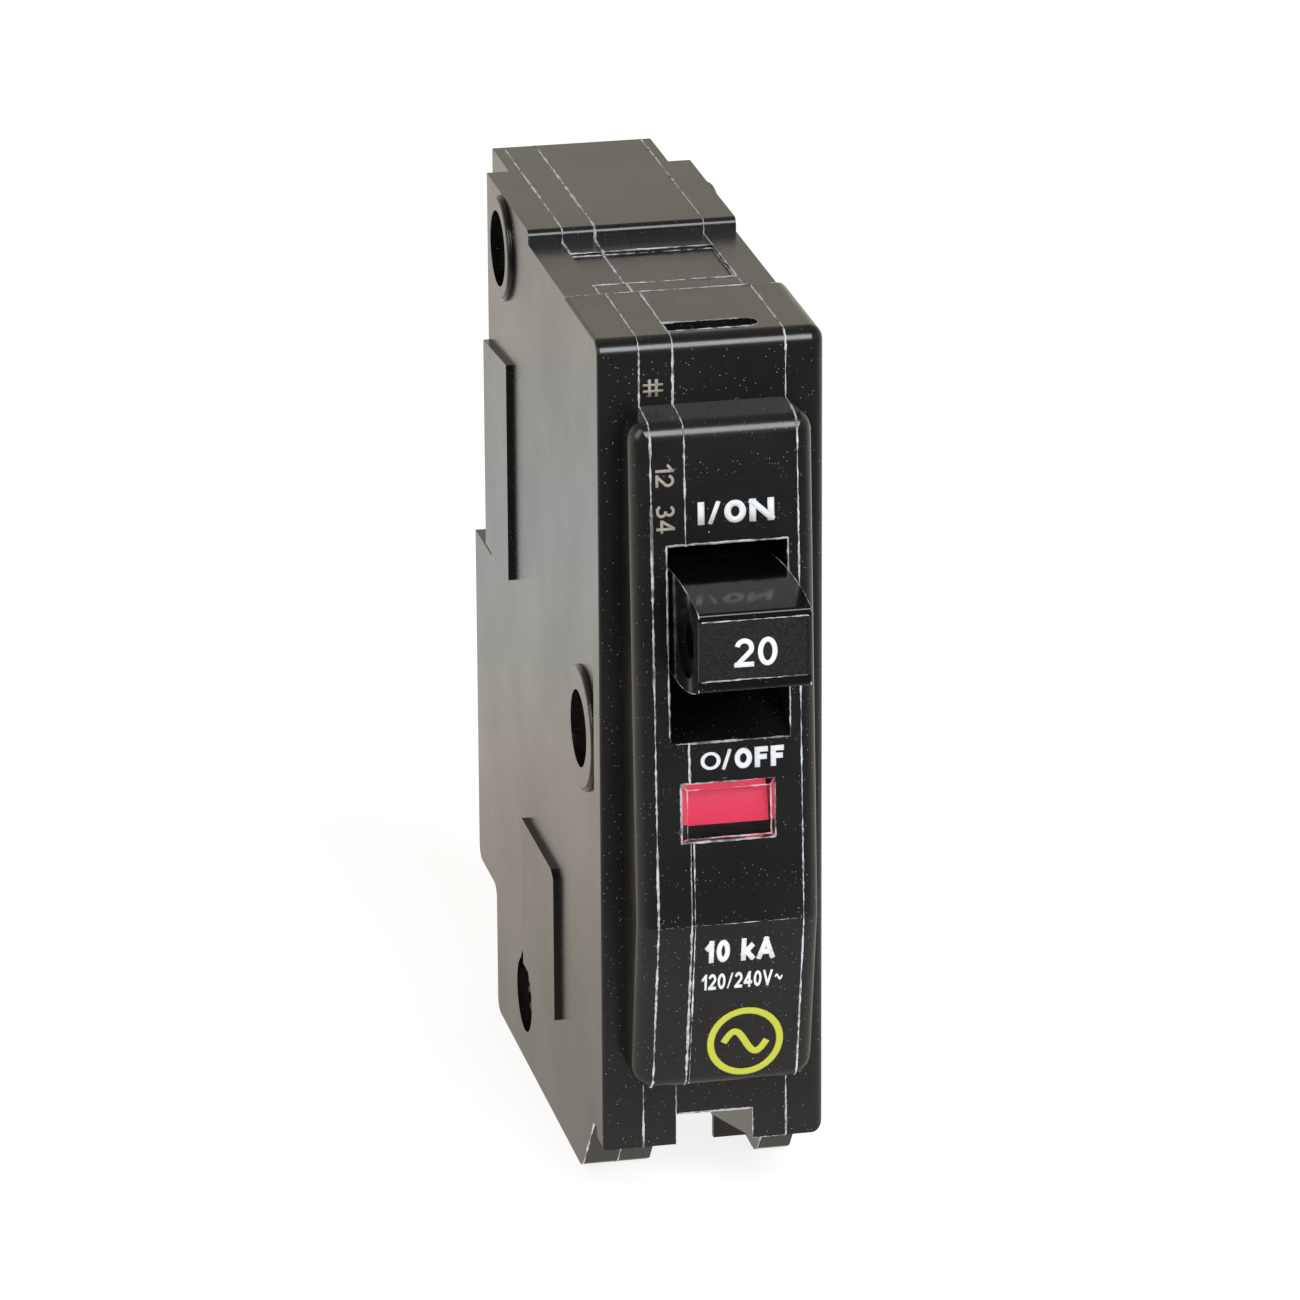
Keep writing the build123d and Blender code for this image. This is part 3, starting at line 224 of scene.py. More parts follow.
def dust_group():
    """Specks of moulding dust: pale dots of uneven size, thinned out at random."""
    group, given, result = effect_group(
        "dust_specks", [("Scale", 1500.0), ("Size", 0.1), ("Share", 0.5)], ["Mask"]
    )
    place = add(group, "ShaderNodeTexCoord")
    cells = add(group, "ShaderNodeTexVoronoi", feature="F1")
    pick = add(group, "ShaderNodeSeparateColor")
    radius = add(group, "ShaderNodeMath", operation="MULTIPLY")
    inside = add(group, "ShaderNodeMath", operation="LESS_THAN")
    chosen = add(group, "ShaderNodeMath", operation="LESS_THAN")
    mask = add(group, "ShaderNodeMath", operation="MULTIPLY")
    group.links.new(place.outputs["Object"], cells.inputs["Vector"])
    group.links.new(given.outputs["Scale"], cells.inputs["Scale"])
    group.links.new(cells.outputs["Color"], pick.inputs["Color"])
    group.links.new(pick.outputs["Green"], radius.inputs[0])
    group.links.new(given.outputs["Size"], radius.inputs[1])
    group.links.new(cells.outputs["Distance"], inside.inputs[0])
    group.links.new(radius.outputs["Value"], inside.inputs[1])
    group.links.new(pick.outputs["Red"], chosen.inputs[0])
    group.links.new(given.outputs["Share"], chosen.inputs[1])
    group.links.new(inside.outputs["Value"], mask.inputs[0])
    group.links.new(chosen.outputs["Value"], mask.inputs[1])
    group.links.new(mask.outputs["Value"], result.inputs["Mask"])
    return group


def surface_group():
    """A moulded or rolled surface: slow clouds, fine grain, and streaks drawn along the height."""
    scales = [("Clouds", 60.0), ("Grain", 2500.0), ("Streaks", 700.0)]
    group, given, result = effect_group("surface_grain", scales, ["Cloud", "Grain", "Streak"])
    place = add(group, "ShaderNodeTexCoord")
    drawn = add(group, "ShaderNodeMapping", vector_type="TEXTURE")
    drawn.inputs["Scale"].default_value = (1.0, 1.0, 40.0)
    group.links.new(place.outputs["Object"], drawn.inputs["Vector"])
    for title, scale, detail, vector in (
        ("Cloud", "Clouds", 4.0, place.outputs["Object"]),
        ("Grain", "Grain", 2.0, place.outputs["Object"]),
        ("Streak", "Streaks", 3.0, drawn.outputs["Vector"]),
    ):
        noise = add(group, "ShaderNodeTexNoise", Detail=detail, Roughness=0.6)
        group.links.new(vector, noise.inputs["Vector"])
        group.links.new(given.outputs[scale], noise.inputs["Scale"])
        group.links.new(noise.outputs["Fac"], result.inputs[title])
    return group


DUST = dust_group()
SURFACE = surface_group()


def use(tree, group, **values):
    """Places an effect group with its own values."""
    node = tree.nodes.new("ShaderNodeGroup")
    node.node_tree = group
    for key, value in values.items():
        node.inputs[key].default_value = value
    return node


def ramp(tree, source, low, high, low_colour, high_colour):
    """Turns a number into a colour between two positions."""
    node = add(tree, "ShaderNodeValToRGB")
    node.color_ramp.elements[0].position = low
    node.color_ramp.elements[1].position = high
    node.color_ramp.elements[0].color = (*low_colour, 1)
    node.color_ramp.elements[1].color = (*high_colour, 1)
    tree.links.new(source, node.inputs["Fac"])
    return node.outputs["Color"]


def spread(tree, source, low, high, to_low, to_high):
    """Maps a number's range to another range."""
    node = add(tree, "ShaderNodeMapRange", From_Min=low, From_Max=high, To_Min=to_low, To_Max=to_high)
    tree.links.new(source, node.inputs["Value"])
    return node.outputs["Result"]


def blend_colour(tree, mask, under, over):
    """Lays a colour over another by a mask. Each is an output socket or a colour."""
    node = add(tree, "ShaderNodeMix", data_type="RGBA")
    tree.links.new(mask, node.inputs["Factor"])
    for socket, value in ((node.inputs[6], under), (node.inputs[7], over)):
        if isinstance(value, tuple):
            socket.default_value = (*value, 1)
        else:
            tree.links.new(value, socket)
    return node.outputs[2]


def total(tree, first, second):
    """The sum of two numbers."""
    node = add(tree, "ShaderNodeMath", operation="ADD")
    tree.links.new(first, node.inputs[0])
    tree.links.new(second, node.inputs[1])
    return node.outputs["Value"]


def roughen(tree, shader, height, strength, distance):
    """Feeds a height to the shader's normal through a bump."""
    bump = add(tree, "ShaderNodeBump", Strength=strength, Distance=distance)
    tree.links.new(height, bump.inputs["Height"])
    tree.links.new(bump.outputs["Normal"], shader.inputs["Normal"])


def paint(node, material):
    """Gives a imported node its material."""
    NODES[node].data.materials.clear()
    NODES[node].data.materials.append(material)


PHENOLIC_BLACK = (0.0052, 0.0049, 0.0048)
PHENOLIC_FILM = (0.0135, 0.0132, 0.013)
DUST_PALE = (0.3, 0.3, 0.31)

phenolic, shader, tree = node_material("phenolic_black")
surface = use(tree, SURFACE, Clouds=55.0, Grain=3500.0, Streaks=900.0)
specks = use(tree, DUST, Scale=4200.0, Size=0.17, Share=0.5)
crumbs = use(tree, DUST, Scale=1500.0, Size=0.1, Share=0.14)
dust = total(tree, specks.outputs["Mask"], crumbs.outputs["Mask"])
film = ramp(tree, surface.outputs["Cloud"], 0.35, 0.75, PHENOLIC_BLACK, PHENOLIC_FILM)
tree.links.new(blend_colour(tree, dust, film, DUST_PALE), shader.inputs["Base Color"])
gloss = spread(tree, surface.outputs["Cloud"], 0.3, 0.75, 0.2, 0.3)
dull = spread(tree, dust, 0.0, 1.0, 0.0, 0.4)
tree.links.new(total(tree, gloss, dull), shader.inputs["Roughness"])
shader.inputs["IOR"].default_value = 1.56
relief = total(tree, spread(tree, surface.outputs["Grain"], 0.0, 1.0, 0.0, 0.5), surface.outputs["Streak"])
roughen(tree, shader, total(tree, relief, dust), 0.12, 0.02 * MM)
for node in ("left_cover", "case_spacer", "main_case", "right_cover"):
    paint(node, phenolic)


# ---------------------------------------------------------------- moulding flash
# Where two mouldings meet, and round each opening, the phenolic has a thin ragged edge that broke off pale.
# It is made as fine uneven beads that lie on the parting lines and on the rims.

FLASH_GREY, FLASH_WHITE = (0.16, 0.16, 0.165), (0.66, 0.68, 0.72)

flash_pale, shader, tree = node_material("flash_pale")
surface = use(tree, SURFACE, Clouds=900.0, Grain=6000.0, Streaks=900.0)
chips = ramp(tree, surface.outputs["Cloud"], 0.36, 0.55, FLASH_GREY, FLASH_WHITE)
tree.links.new(chips, shader.inputs["Base Color"])
tree.links.new(spread(tree, surface.outputs["Grain"], 0.2, 0.8, 0.5, 0.8), shader.inputs["Roughness"])
roughen(tree, shader, surface.outputs["Grain"], 0.5, 0.03 * MM)


def merged_copy(*nodes):
    """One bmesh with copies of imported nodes, their loose triangles joined up."""
    bm = bmesh.new()
    for node in nodes:
        bm.from_mesh(NODES[node].data)
    bmesh.ops.remove_doubles(bm, verts=bm.verts, dist=0.002 * MM)
    return bm


def section_lines(node, x, wanted):
    """The outline of a node where the plane X = x cuts it, as pairs of points."""
    bm = merged_copy(node)
    cut = bmesh.ops.bisect_plane(
        bm, geom=bm.verts[:] + bm.edges[:] + bm.faces[:], plane_co=(x, 0, 0), plane_no=(1, 0, 0)
    )["geom_cut"]
    edges = [e for e in cut if isinstance(e, bmesh.types.BMEdge)]
    pairs = [(e.verts[0].co.copy(), e.verts[1].co.copy()) for e in edges]
    bm.free()
    return [(a, b) for a, b in pairs if wanted((a + b) / 2)]


def rim_lines(node, wanted, sharper_than=40.0):
    """The sharp edges of a node that a test picks by their middle and their two faces' normals."""
    bm = merged_copy(node)
    bm.normal_update()
    pairs = []
    for edge in bm.edges:
        if len(edge.link_faces) != 2:
            continue
        first, second = (f.normal for f in edge.link_faces)
        if first.angle(second, 0.0) < radians(sharper_than):
            continue
        middle = (edge.verts[0].co + edge.verts[1].co) / 2
        if wanted(middle, first, second):
            pairs.append((edge.verts[0].co.copy(), edge.verts[1].co.copy()))
    bm.free()
    return pairs


def bead(name, pairs, radius, ragged, body, material, step=0.22 * MM):
    """A fine uneven bead along joined pairs of points: a curve with wandering points, made a mesh."""
    draw = random.Random(name)
    bm = bmesh.new()
    for a, b in pairs:
        bm.edges.new((bm.verts.new(a), bm.verts.new(b)))
    bmesh.ops.remove_doubles(bm, verts=bm.verts, dist=0.01 * MM)
    for edge in bm.edges[:]:
        cuts = int(edge.calc_length() / step)
        if cuts:
            bmesh.ops.subdivide_edges(bm, edges=[edge], cuts=cuts)
    for vert in bm.verts:
        vert.co += Vector([draw.uniform(-1, 1) for _ in range(3)]) * radius * ragged * 0.5
    mesh = bpy.data.meshes.new(name)
    bm.to_mesh(mesh)
    bm.free()
    line = bpy.data.objects.new(name, mesh)
    bpy.context.scene.collection.objects.link(line)
    bpy.ops.object.select_all(action="DESELECT")
    bpy.context.view_layer.objects.active = line
    line.select_set(True)
    bpy.ops.object.convert(target="CURVE")
    curve = line.data
    curve.bevel_depth = radius
    curve.bevel_resolution = 0
    curve.use_fill_caps = True
    for spline in curve.splines:
        swell = 1.0
        for point in spline.points:
            swell = min(max(swell + draw.uniform(-0.5, 0.5), 1 - ragged), 1 + ragged)
            point.radius = swell
    solid = bpy.data.meshes.new_from_object(line.evaluated_get(bpy.context.evaluated_depsgraph_get()))
    bpy.data.objects.remove(line)
    return place_piece(name, solid, body, material)


def place_piece(name, mesh, body, material):
    """Makes a finished mesh a piece that rides on a body."""
    mesh.materials.clear()
    mesh.materials.append(material)
    piece = bpy.data.objects.new(name, mesh)
    bpy.context.scene.collection.objects.link(piece)
    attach(piece, body)
    return piece


SPACER_LOW, SPACER_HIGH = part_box("case_spacer")
MAIN_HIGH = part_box("main_case")[1]
LENS_LOW, LENS_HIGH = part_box("window_lens")
HANDLE_LOW, HANDLE_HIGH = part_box("handle")
SKIN = 1.9 * MM
TOP_SKIN = 3.4 * MM
ROOM_FLOOR_Z = 8.4 * MM
TERMINAL_ROOM_Y = (15 * MM, 47.2 * MM)
TERMINAL_ROOM_Z = (-4.5 * MM, 8.5 * MM)
FRONT_OPENINGS_Y = -4.6 * MM
FRONT_OPENINGS_Z = (22.5 * MM, 54.9 * MM)


def between(value, span):
    """Whether a value lies inside a span."""
    return span[0] < value < span[1]


def on_outside(p):
    """Whether a point of a section lies on the case's outside, and not in the room for the mechanism."""
    under_top = p.z < CAD_HIGH.z - TOP_SKIN
    before_back = p.y < CAD_HIGH.y - SKIN
    upper_room = p.y > SKIN and p.z > ROOM_FLOOR_Z and under_top
    in_pocket = p.y > FRONT_OPENINGS_Y and between(p.z, FRONT_OPENINGS_Z) and under_top
    lower_room = between(p.y, TERMINAL_ROOM_Y) and between(p.z, TERMINAL_ROOM_Z)
    return not (lower_room or (before_back and (upper_room or in_pocket)))


LINES = (
    ("flash_left", "case_spacer", SPACER_LOW.x, 0.08),
    ("flash_middle", "main_case", SPACER_HIGH.x, 0.09),
    ("flash_right", "right_cover", MAIN_HIGH.x, 0.075),
)
for name, node, x, radius in LINES:
    pairs = section_lines(node, x + 0.02 * MM, on_outside)
    bead(name, pairs, radius * MM, 0.55, "case", flash_pale)


RIM_SLACK = 0.4 * MM
ESCUTCHEON_FACE_Y = -4.2 * MM


def front_rim(low, high):
    """A test for edges of the escutcheon's front that lie in a rectangle seen from the front."""
    across = (low.x - RIM_SLACK, high.x + RIM_SLACK)
    upright = (low.z - RIM_SLACK, high.z + RIM_SLACK)

    def wanted(middle, first, second):
        in_front = middle.y < ESCUTCHEON_FACE_Y and min(first.y, second.y) < -0.9
        return in_front and between(middle.x, across) and between(middle.z, upright)

    return wanted


def eased(points, low, high, ease):
    """Moves rim points outwards from an opening, so that the bead clears what moves in it."""
    near = 0.3 * MM
    for point in points:
        for axis in (0, 2):
            if abs(point[axis] - low[axis]) < near:
                point[axis] -= ease
            elif abs(point[axis] - high[axis]) < near:
                point[axis] += ease


POCKET_LOW = Vector((-4.74, 0, 38.05)) * MM
POCKET_HIGH = Vector((5.2, 0, 54.7)) * MM
POCKET_EASE = 0.11
for name, low, high, ease in (
    ("flash_pocket", POCKET_LOW, POCKET_HIGH, POCKET_EASE),
    ("flash_window", LENS_LOW, LENS_HIGH, 0.0),
):
    pairs = []
    for node in ("main_case", "case_spacer"):
        pairs += rim_lines(node, front_rim(low, high))
    eased([point for pair in pairs for point in pair], low, high, ease * MM)
    bead(name, pairs, 0.06 * MM, 0.8, "case", flash_pale)


TOP_RECESS_Y = (1.4 * MM, 30 * MM)
TOP_FACE_Z = (69.5 * MM, 71.2 * MM)
STEP_Y = 13.3 * MM
STEP_TOP_Z = 70.9 * MM
NEAR = 0.1 * MM


def top_rim(middle, first, second):
    """A test for the edges of the recess and the slot in the top."""
    on_top = between(middle.z, TOP_FACE_Z) and max(first.z, second.z) > 0.9
    across = between(middle.x, (SPACER_LOW.x - NEAR, MAIN_HIGH.x + NEAR))
    return on_top and across and between(middle.y, TOP_RECESS_Y)


def step_rim(middle, first, second):
    """A test for the front edge of the covers' step in the top."""
    return abs(middle.y - STEP_Y) < NEAR and middle.z > STEP_TOP_Z


pairs = [p for node in ("main_case", "case_spacer") for p in rim_lines(node, top_rim)]
bead("flash_top", pairs, 0.05 * MM, 0.8, "case", flash_pale)
pairs = [p for node in ("left_cover", "right_cover") for p in rim_lines(node, step_rim)]
bead("flash_step", pairs, 0.045 * MM, 0.8, "case", flash_pale)

LEG_TOP_Z = 5 * MM
LEG_FRONT_Y = 0.2 * MM
NOTCH_LEFT_X = -2.9 * MM
TOE_Y = (5 * MM, 12.3 * MM)
TOE_TOP_Z = 0.2 * MM
TOE_SKIN = 0.7 * MM


def foot_rim(middle, first, second):
    """A test for the front edges of the notch between the legs and of the right foot."""
    front = middle.y < LEG_FRONT_Y and middle.z < LEG_TOP_Z and min(first.y, second.y) < -0.9
    under_or_beside = min(first.z, second.z, -abs(first.x)) < -0.3
    return front and under_or_beside and between(middle.x, (NOTCH_LEFT_X, MAIN_HIGH.x))


def toe_rim(middle, first, second):
    """A test for the outer edge of the left foot's sloping front."""
    outer = middle.x < CAD_LOW.x + TOE_SKIN
    return outer and middle.z < TOE_TOP_Z and between(middle.y, TOE_Y)


bead("flash_foot", rim_lines("main_case", foot_rim), 0.05 * MM, 0.8, "case", flash_pale)
bead("flash_toe", rim_lines("left_cover", toe_rim, 20.0), 0.06 * MM, 0.8, "case", flash_pale)

# The sprue side of the main case left a second, finer line beside the middle one, and one along the ridge.
DOUBLE_LINE_OFFSET = 0.3 * MM
ESCUTCHEON_Y = -3.5 * MM
RIDGE_Z = 22.2 * MM
RIDGE_Y = -6 * MM


def below_window(p):
    """A test for points on the escutcheon's front, under the window."""
    return p.y < ESCUTCHEON_Y and p.z < LENS_LOW.z


def ridge_rim(middle, first, second):
    """A test for the blunt edge across the escutcheon, where its slope turns."""
    across = max(abs(first.x), abs(second.x)) < 0.1
    return middle.y < RIDGE_Y and abs(middle.z - RIDGE_Z) < NEAR and across


pairs = section_lines("main_case", SPACER_HIGH.x + DOUBLE_LINE_OFFSET, below_window)
bead("flash_double", pairs, 0.055 * MM, 0.7, "case", flash_pale)
ridge = []
for node in ("case_spacer", "main_case", "right_cover"):
    ridge += rim_lines(node, ridge_rim, 5.0)
bead("flash_ridge", ridge, 0.025 * MM, 0.8, "case", flash_pale)


# ---------------------------------------------------------------- metals
# Stamped and rolled metal parts: zinc-plated and plain steel, spring wire, copper, and silver buttons.
# Each metal has its own colour, and the same fine rolling marks, finger marks and grain.


def metal(name, colour, worn_colour, rough_low, rough_high):
    """A bare metal with drawn marks, slow tarnish and fine grain."""
    material, shader, tree = node_material(name)
    surface = use(tree, SURFACE, Clouds=220.0, Grain=5000.0, Streaks=2200.0)
    colour_over = ramp(tree, surface.outputs["Cloud"], 0.35, 0.7, colour, worn_colour)
    tree.links.new(colour_over, shader.inputs["Base Color"])
    shader.inputs["Metallic"].default_value = 1.0
    finish = spread(tree, surface.outputs["Streak"], 0.25, 0.75, rough_low, rough_high)
    tree.links.new(finish, shader.inputs["Roughness"])
    roughen(tree, shader, total(tree, surface.outputs["Streak"], surface.outputs["Grain"]), 0.2, 0.01 * MM)
    return material


zinc_steel = metal("zinc_steel", (0.6, 0.61, 0.62), (0.42, 0.43, 0.44), 0.22, 0.42)
plain_steel = metal("plain_steel", (0.42, 0.41, 0.4), (0.3, 0.28, 0.26), 0.3, 0.5)
spring_steel = metal("spring_steel", (0.4, 0.4, 0.42), (0.25, 0.25, 0.27), 0.2, 0.38)
dark_steel = metal("rivet_steel", (0.09, 0.088, 0.085), (0.2, 0.19, 0.18), 0.3, 0.5)
bimetal_strip = metal("bimetal_strip", (0.5, 0.46, 0.4), (0.36, 0.33, 0.3), 0.28, 0.45)
copper = metal("copper_sheet", (0.78, 0.42, 0.27), (0.5, 0.26, 0.17), 0.25, 0.45)
silver = metal("silver_alloy", (0.85, 0.84, 0.81), (0.6, 0.59, 0.56), 0.3, 0.5)


# ---------------------------------------------------------------- rivets
# Three tubular steel rivets clamp the four mouldings together, with their ends flared over in recesses.
# Flaring splits the rim, so each end has a ragged collar of small petals.

paint("case_rivets", dark_steel)


PETALS = 7
PETAL_FOOT_R, PETAL_TIP_R, PETAL_HEIGHT = 0.75 * MM, 0.35 * MM, 0.3 * MM
PETAL_PLACE = 0.72
UPPER_RIVET_OVER_Z, MIDDLE_RIVET_OVER_Z = 50 * MM, 20 * MM


def rivet_collars(name):
    """The split collars on both ends of each rivet, made from the rivets' own places."""
    centres = {}
    for vert in NODES["case_rivets"].data.vertices:
        key = (vert.co.z > UPPER_RIVET_OVER_Z, vert.co.z > MIDDLE_RIVET_OVER_Z)
        centres.setdefault(key, []).append(vert.co.copy())
    draw = random.Random(name)
    bm = bmesh.new()
    for points in centres.values():
        low = Vector((min(p[i] for p in points) for i in range(3)))
        high = Vector((max(p[i] for p in points) for i in range(3)))
        middle, radius = (low + high) / 2, (high.y - low.y) / 2
        for end, side in ((low.x, -1), (high.x, 1)):
            for turn in range(PETALS):
                angle = turn * 2 * pi / PETALS + draw.uniform(-0.12, 0.12)
                petal = bmesh.ops.create_cone(
                    bm,
                    cap_ends=True,
                    segments=5,
                    radius1=PETAL_FOOT_R,
                    radius2=PETAL_TIP_R,
                    depth=PETAL_HEIGHT,
                )["verts"]
                bmesh.ops.scale(bm, vec=(1.3, draw.uniform(0.8, 1.15), 1.0), verts=petal)
                lean = Matrix.Rotation(draw.uniform(0.1, 0.35), 3, "Y")
                bmesh.ops.rotate(bm, cent=(0, 0, 0), matrix=lean, verts=petal)
                bmesh.ops.translate(bm, vec=(radius * PETAL_PLACE, 0, PETAL_HEIGHT / 3), verts=petal)
                around = Matrix.Rotation(side * pi / 2, 3, "Y") @ Matrix.Rotation(angle, 3, "Z")
                bmesh.ops.rotate(bm, cent=(0, 0, 0), matrix=around, verts=petal)
                bmesh.ops.translate(bm, vec=(end, middle.y, middle.z), verts=petal)
    bmesh.ops.recalc_face_normals(bm, faces=bm.faces)
    mesh = bpy.data.meshes.new(name)
    bm.to_mesh(mesh)
    bm.free()
    return place_piece(name, mesh, "case", dark_steel)


rivet_collars("rivet_collars")


# ---------------------------------------------------------------- line side
# The bus jaw is one copper strip folded to two fingers, with a steel clip round them, on a copper strap.
# Steel arc plates stand in two walls of red-brown fibre in front of the fixed contact.

paint("line_jaw", copper)
paint("line_strap", copper)
paint("jaw_spring", spring_steel)
paint("stationary_contact", silver)
paint("arc_plates", plain_steel)

FIBRE_DARK, FIBRE_RED = (0.22, 0.07, 0.04), (0.33, 0.12, 0.07)

fibre, shader, tree = node_material("vulcanised_fibre")
surface = use(tree, SURFACE, Clouds=300.0, Grain=4000.0, Streaks=1500.0)
layers = ramp(tree, surface.outputs["Streak"], 0.3, 0.7, FIBRE_DARK, FIBRE_RED)
tree.links.new(layers, shader.inputs["Base Color"])
tree.links.new(spread(tree, surface.outputs["Grain"], 0.2, 0.8, 0.65, 0.85), shader.inputs["Roughness"])
roughen(tree, shader, surface.outputs["Grain"], 0.4, 0.05 * MM)
paint("arc_walls", fibre)


# ---------------------------------------------------------------- contact arm
# A copper arm hangs on a steel pin in the handle's drum and carries a silver button.
# The toggle spring pulls it over centre, and a rope of fine copper wires brings it the current.

paint("contact_arm", copper)
paint("moving_contact", silver)
paint("arm_pin", plain_steel)
paint("toggle_spring", spring_steel)

ROPE_SHADE, ROPE_WIRE = (0.3, 0.13, 0.07), (0.8, 0.44, 0.28)

rope_copper, shader, tree = node_material("rope_copper")
place = add(tree, "ShaderNodeTexCoord")
lay = add(tree, "ShaderNodeMapping")
lay.inputs["Rotation"].default_value = (radians(35), radians(20), 0)
wires = add(tree, "ShaderNodeTexWave", Scale=900.0, Distortion=1.0, Detail=1.0)
tree.links.new(place.outputs["Object"], lay.inputs["Vector"])
tree.links.new(lay.outputs["Vector"], wires.inputs["Vector"])
strands = ramp(tree, wires.outputs["Fac"], 0.1, 0.8, ROPE_SHADE, ROPE_WIRE)
tree.links.new(strands, shader.inputs["Base Color"])
shader.inputs["Metallic"].default_value = 1.0
shader.inputs["Roughness"].default_value = 0.4
roughen(tree, shader, wires.outputs["Fac"], 0.8, 0.1 * MM)
paint("braid", rope_copper)


# ---------------------------------------------------------------- thermal and magnetic trip
# A bimetal strip carries the current over a strap to the terminal, and its steel yoke pulls an armature.
# The parts are bare stamped metal, with a zinc-plated calibration screw under the strip.

paint("magnet_yoke", plain_steel)
paint("armature", plain_steel)
paint("armature_pin", plain_steel)
paint("bimetal", bimetal_strip)
paint("armature_spring", spring_steel)
paint("calibration_screw", zinc_steel)
paint("load_strap", copper)


# ---------------------------------------------------------------- trip lever, flag and window
# A stamped steel lever turns a red plastic flag up behind the window when the breaker trips.
# The window is a clear block with bevelled edges, pressed into the escutcheon, with fine moulding streaks.

paint("trip_lever", plain_steel)

FLAG_DEEP, FLAG_BRIGHT = (0.66, 0.012, 0.05), (0.8, 0.025, 0.085)
LENS_PAINTED_FLAG_LIGHT, LENS_PAINTED_GLINT = (0.45, 0.12, 0.16), (0.85, 0.6, 0.64)
LENS_FRONT_DEPTH = 1.1 * MM

flag_red, shader, tree = node_material("flag_red")
surface = use(tree, SURFACE, Clouds=250.0, Grain=3000.0, Streaks=1200.0)
dye = ramp(tree, surface.outputs["Cloud"], 0.3, 0.7, FLAG_DEEP, FLAG_BRIGHT)
tree.links.new(dye, shader.inputs["Base Color"])
shader.inputs["Roughness"].default_value = 0.4
# Painted light: the flag glows a little, standing in for the light that reaches it through the window.
shader.inputs["Emission Color"].default_value = (1.0, 0.05, 0.13, 1)
shader.inputs["Emission Strength"].default_value = 0.5
roughen(tree, shader, surface.outputs["Streak"], 0.15, 0.03 * MM)
paint("trip_flag", flag_red)

window_clear, shader, tree = node_material("window_clear")
surface = use(tree, SURFACE, Clouds=120.0, Grain=2500.0, Streaks=1000.0)
shader.inputs["Base Color"].default_value = (0.99, 0.985, 0.98, 1)
shader.inputs["Transmission Weight"].default_value = 1.0
shader.inputs["IOR"].default_value = 1.49
tree.links.new(spread(tree, surface.outputs["Streak"], 0.4, 0.7, 0.03, 0.12), shader.inputs["Roughness"])
roughen(tree, shader, surface.outputs["Streak"], 0.1, 0.02 * MM)
paint("window_lens", window_clear)

# Beads on the lens's rough bevel edges. Their rose colour is painted light from the red flag behind, and
# their pale patches are painted glints of the soft box.
lens_edge, shader, tree = node_material("lens_edge")
surface = use(tree, SURFACE, Clouds=900.0, Grain=6000.0, Streaks=900.0)
painted_edge_light = ramp(tree, surface.outputs["Cloud"], 0.35, 0.6, LENS_PAINTED_FLAG_LIGHT, LENS_PAINTED_GLINT)
tree.links.new(painted_edge_light, shader.inputs["Base Color"])
shader.inputs["Roughness"].default_value = 0.35
roughen(tree, shader, surface.outputs["Grain"], 0.4, 0.02 * MM)


def lens_front(middle, first, second):
    """A test for the edges of the lens's front and of its bevels."""
    return middle.y < LENS_LOW.y + LENS_FRONT_DEPTH


pairs = rim_lines("window_lens", lens_front, 20.0)
bead("lens_edges", pairs, 0.045 * MM, 0.8, "case", lens_edge)


# ---------------------------------------------------------------- handle
# The handle and its drum are one glossy black moulding. A fine sand-blasted panel lies on its front between
# two lips. The lips and corners are worn pale, and the rating is printed on the panel.

PANEL_Z = (46.8 * MM, 51.9 * MM)
PANEL_MIDDLE_Z = sum(PANEL_Z) / 2
PANEL_HALF = (PANEL_Z[1] - PANEL_Z[0]) / 2
PANEL_DEPTH = 0.3 * MM
HANDLE_BLACK = (0.004, 0.004, 0.0044)
PANEL_BLACK, PANEL_GREY = (0.004, 0.004, 0.0045), (0.026, 0.026, 0.029)

handle_black, shader, tree = node_material("handle_black")
surface = use(tree, SURFACE, Clouds=90.0, Grain=9000.0, Streaks=900.0)
specks = use(tree, DUST, Scale=4200.0, Size=0.15, Share=0.22)
place = add(tree, "ShaderNodeTexCoord")
split = add(tree, "ShaderNodeSeparateXYZ")
tree.links.new(place.outputs["Object"], split.inputs["Vector"])
front = add(tree, "ShaderNodeMath", operation="LESS_THAN")
front.inputs[1].default_value = HANDLE_LOW.y + PANEL_DEPTH
tree.links.new(split.outputs["Y"], front.inputs[0])
band = add(tree, "ShaderNodeMath", operation="COMPARE")
band.inputs[1].default_value = PANEL_MIDDLE_Z
band.inputs[2].default_value = PANEL_HALF
tree.links.new(split.outputs["Z"], band.inputs[0])
panel = add(tree, "ShaderNodeMath", operation="MULTIPLY")
tree.links.new(front.outputs["Value"], panel.inputs[0])
tree.links.new(band.outputs["Value"], panel.inputs[1])
blasted = ramp(tree, surface.outputs["Grain"], 0.38, 0.66, PANEL_BLACK, PANEL_GREY)
body_black = blend_colour(tree, specks.outputs["Mask"], HANDLE_BLACK, DUST_PALE)
tree.links.new(blend_colour(tree, panel.outputs["Value"], body_black, blasted), shader.inputs["Base Color"])
polish = spread(tree, surface.outputs["Cloud"], 0.3, 0.7, 0.07, 0.14)
matt = spread(tree, panel.outputs["Value"], 0.0, 1.0, 0.0, 0.4)
tree.links.new(total(tree, polish, matt), shader.inputs["Roughness"])
shader.inputs["IOR"].default_value = 1.42
grit = add(tree, "ShaderNodeMath", operation="MULTIPLY")
tree.links.new(surface.outputs["Grain"], grit.inputs[0])
tree.links.new(panel.outputs["Value"], grit.inputs[1])
roughen(tree, shader, grit.outputs["Value"], 0.7, 0.05 * MM)
paint("handle", handle_black)


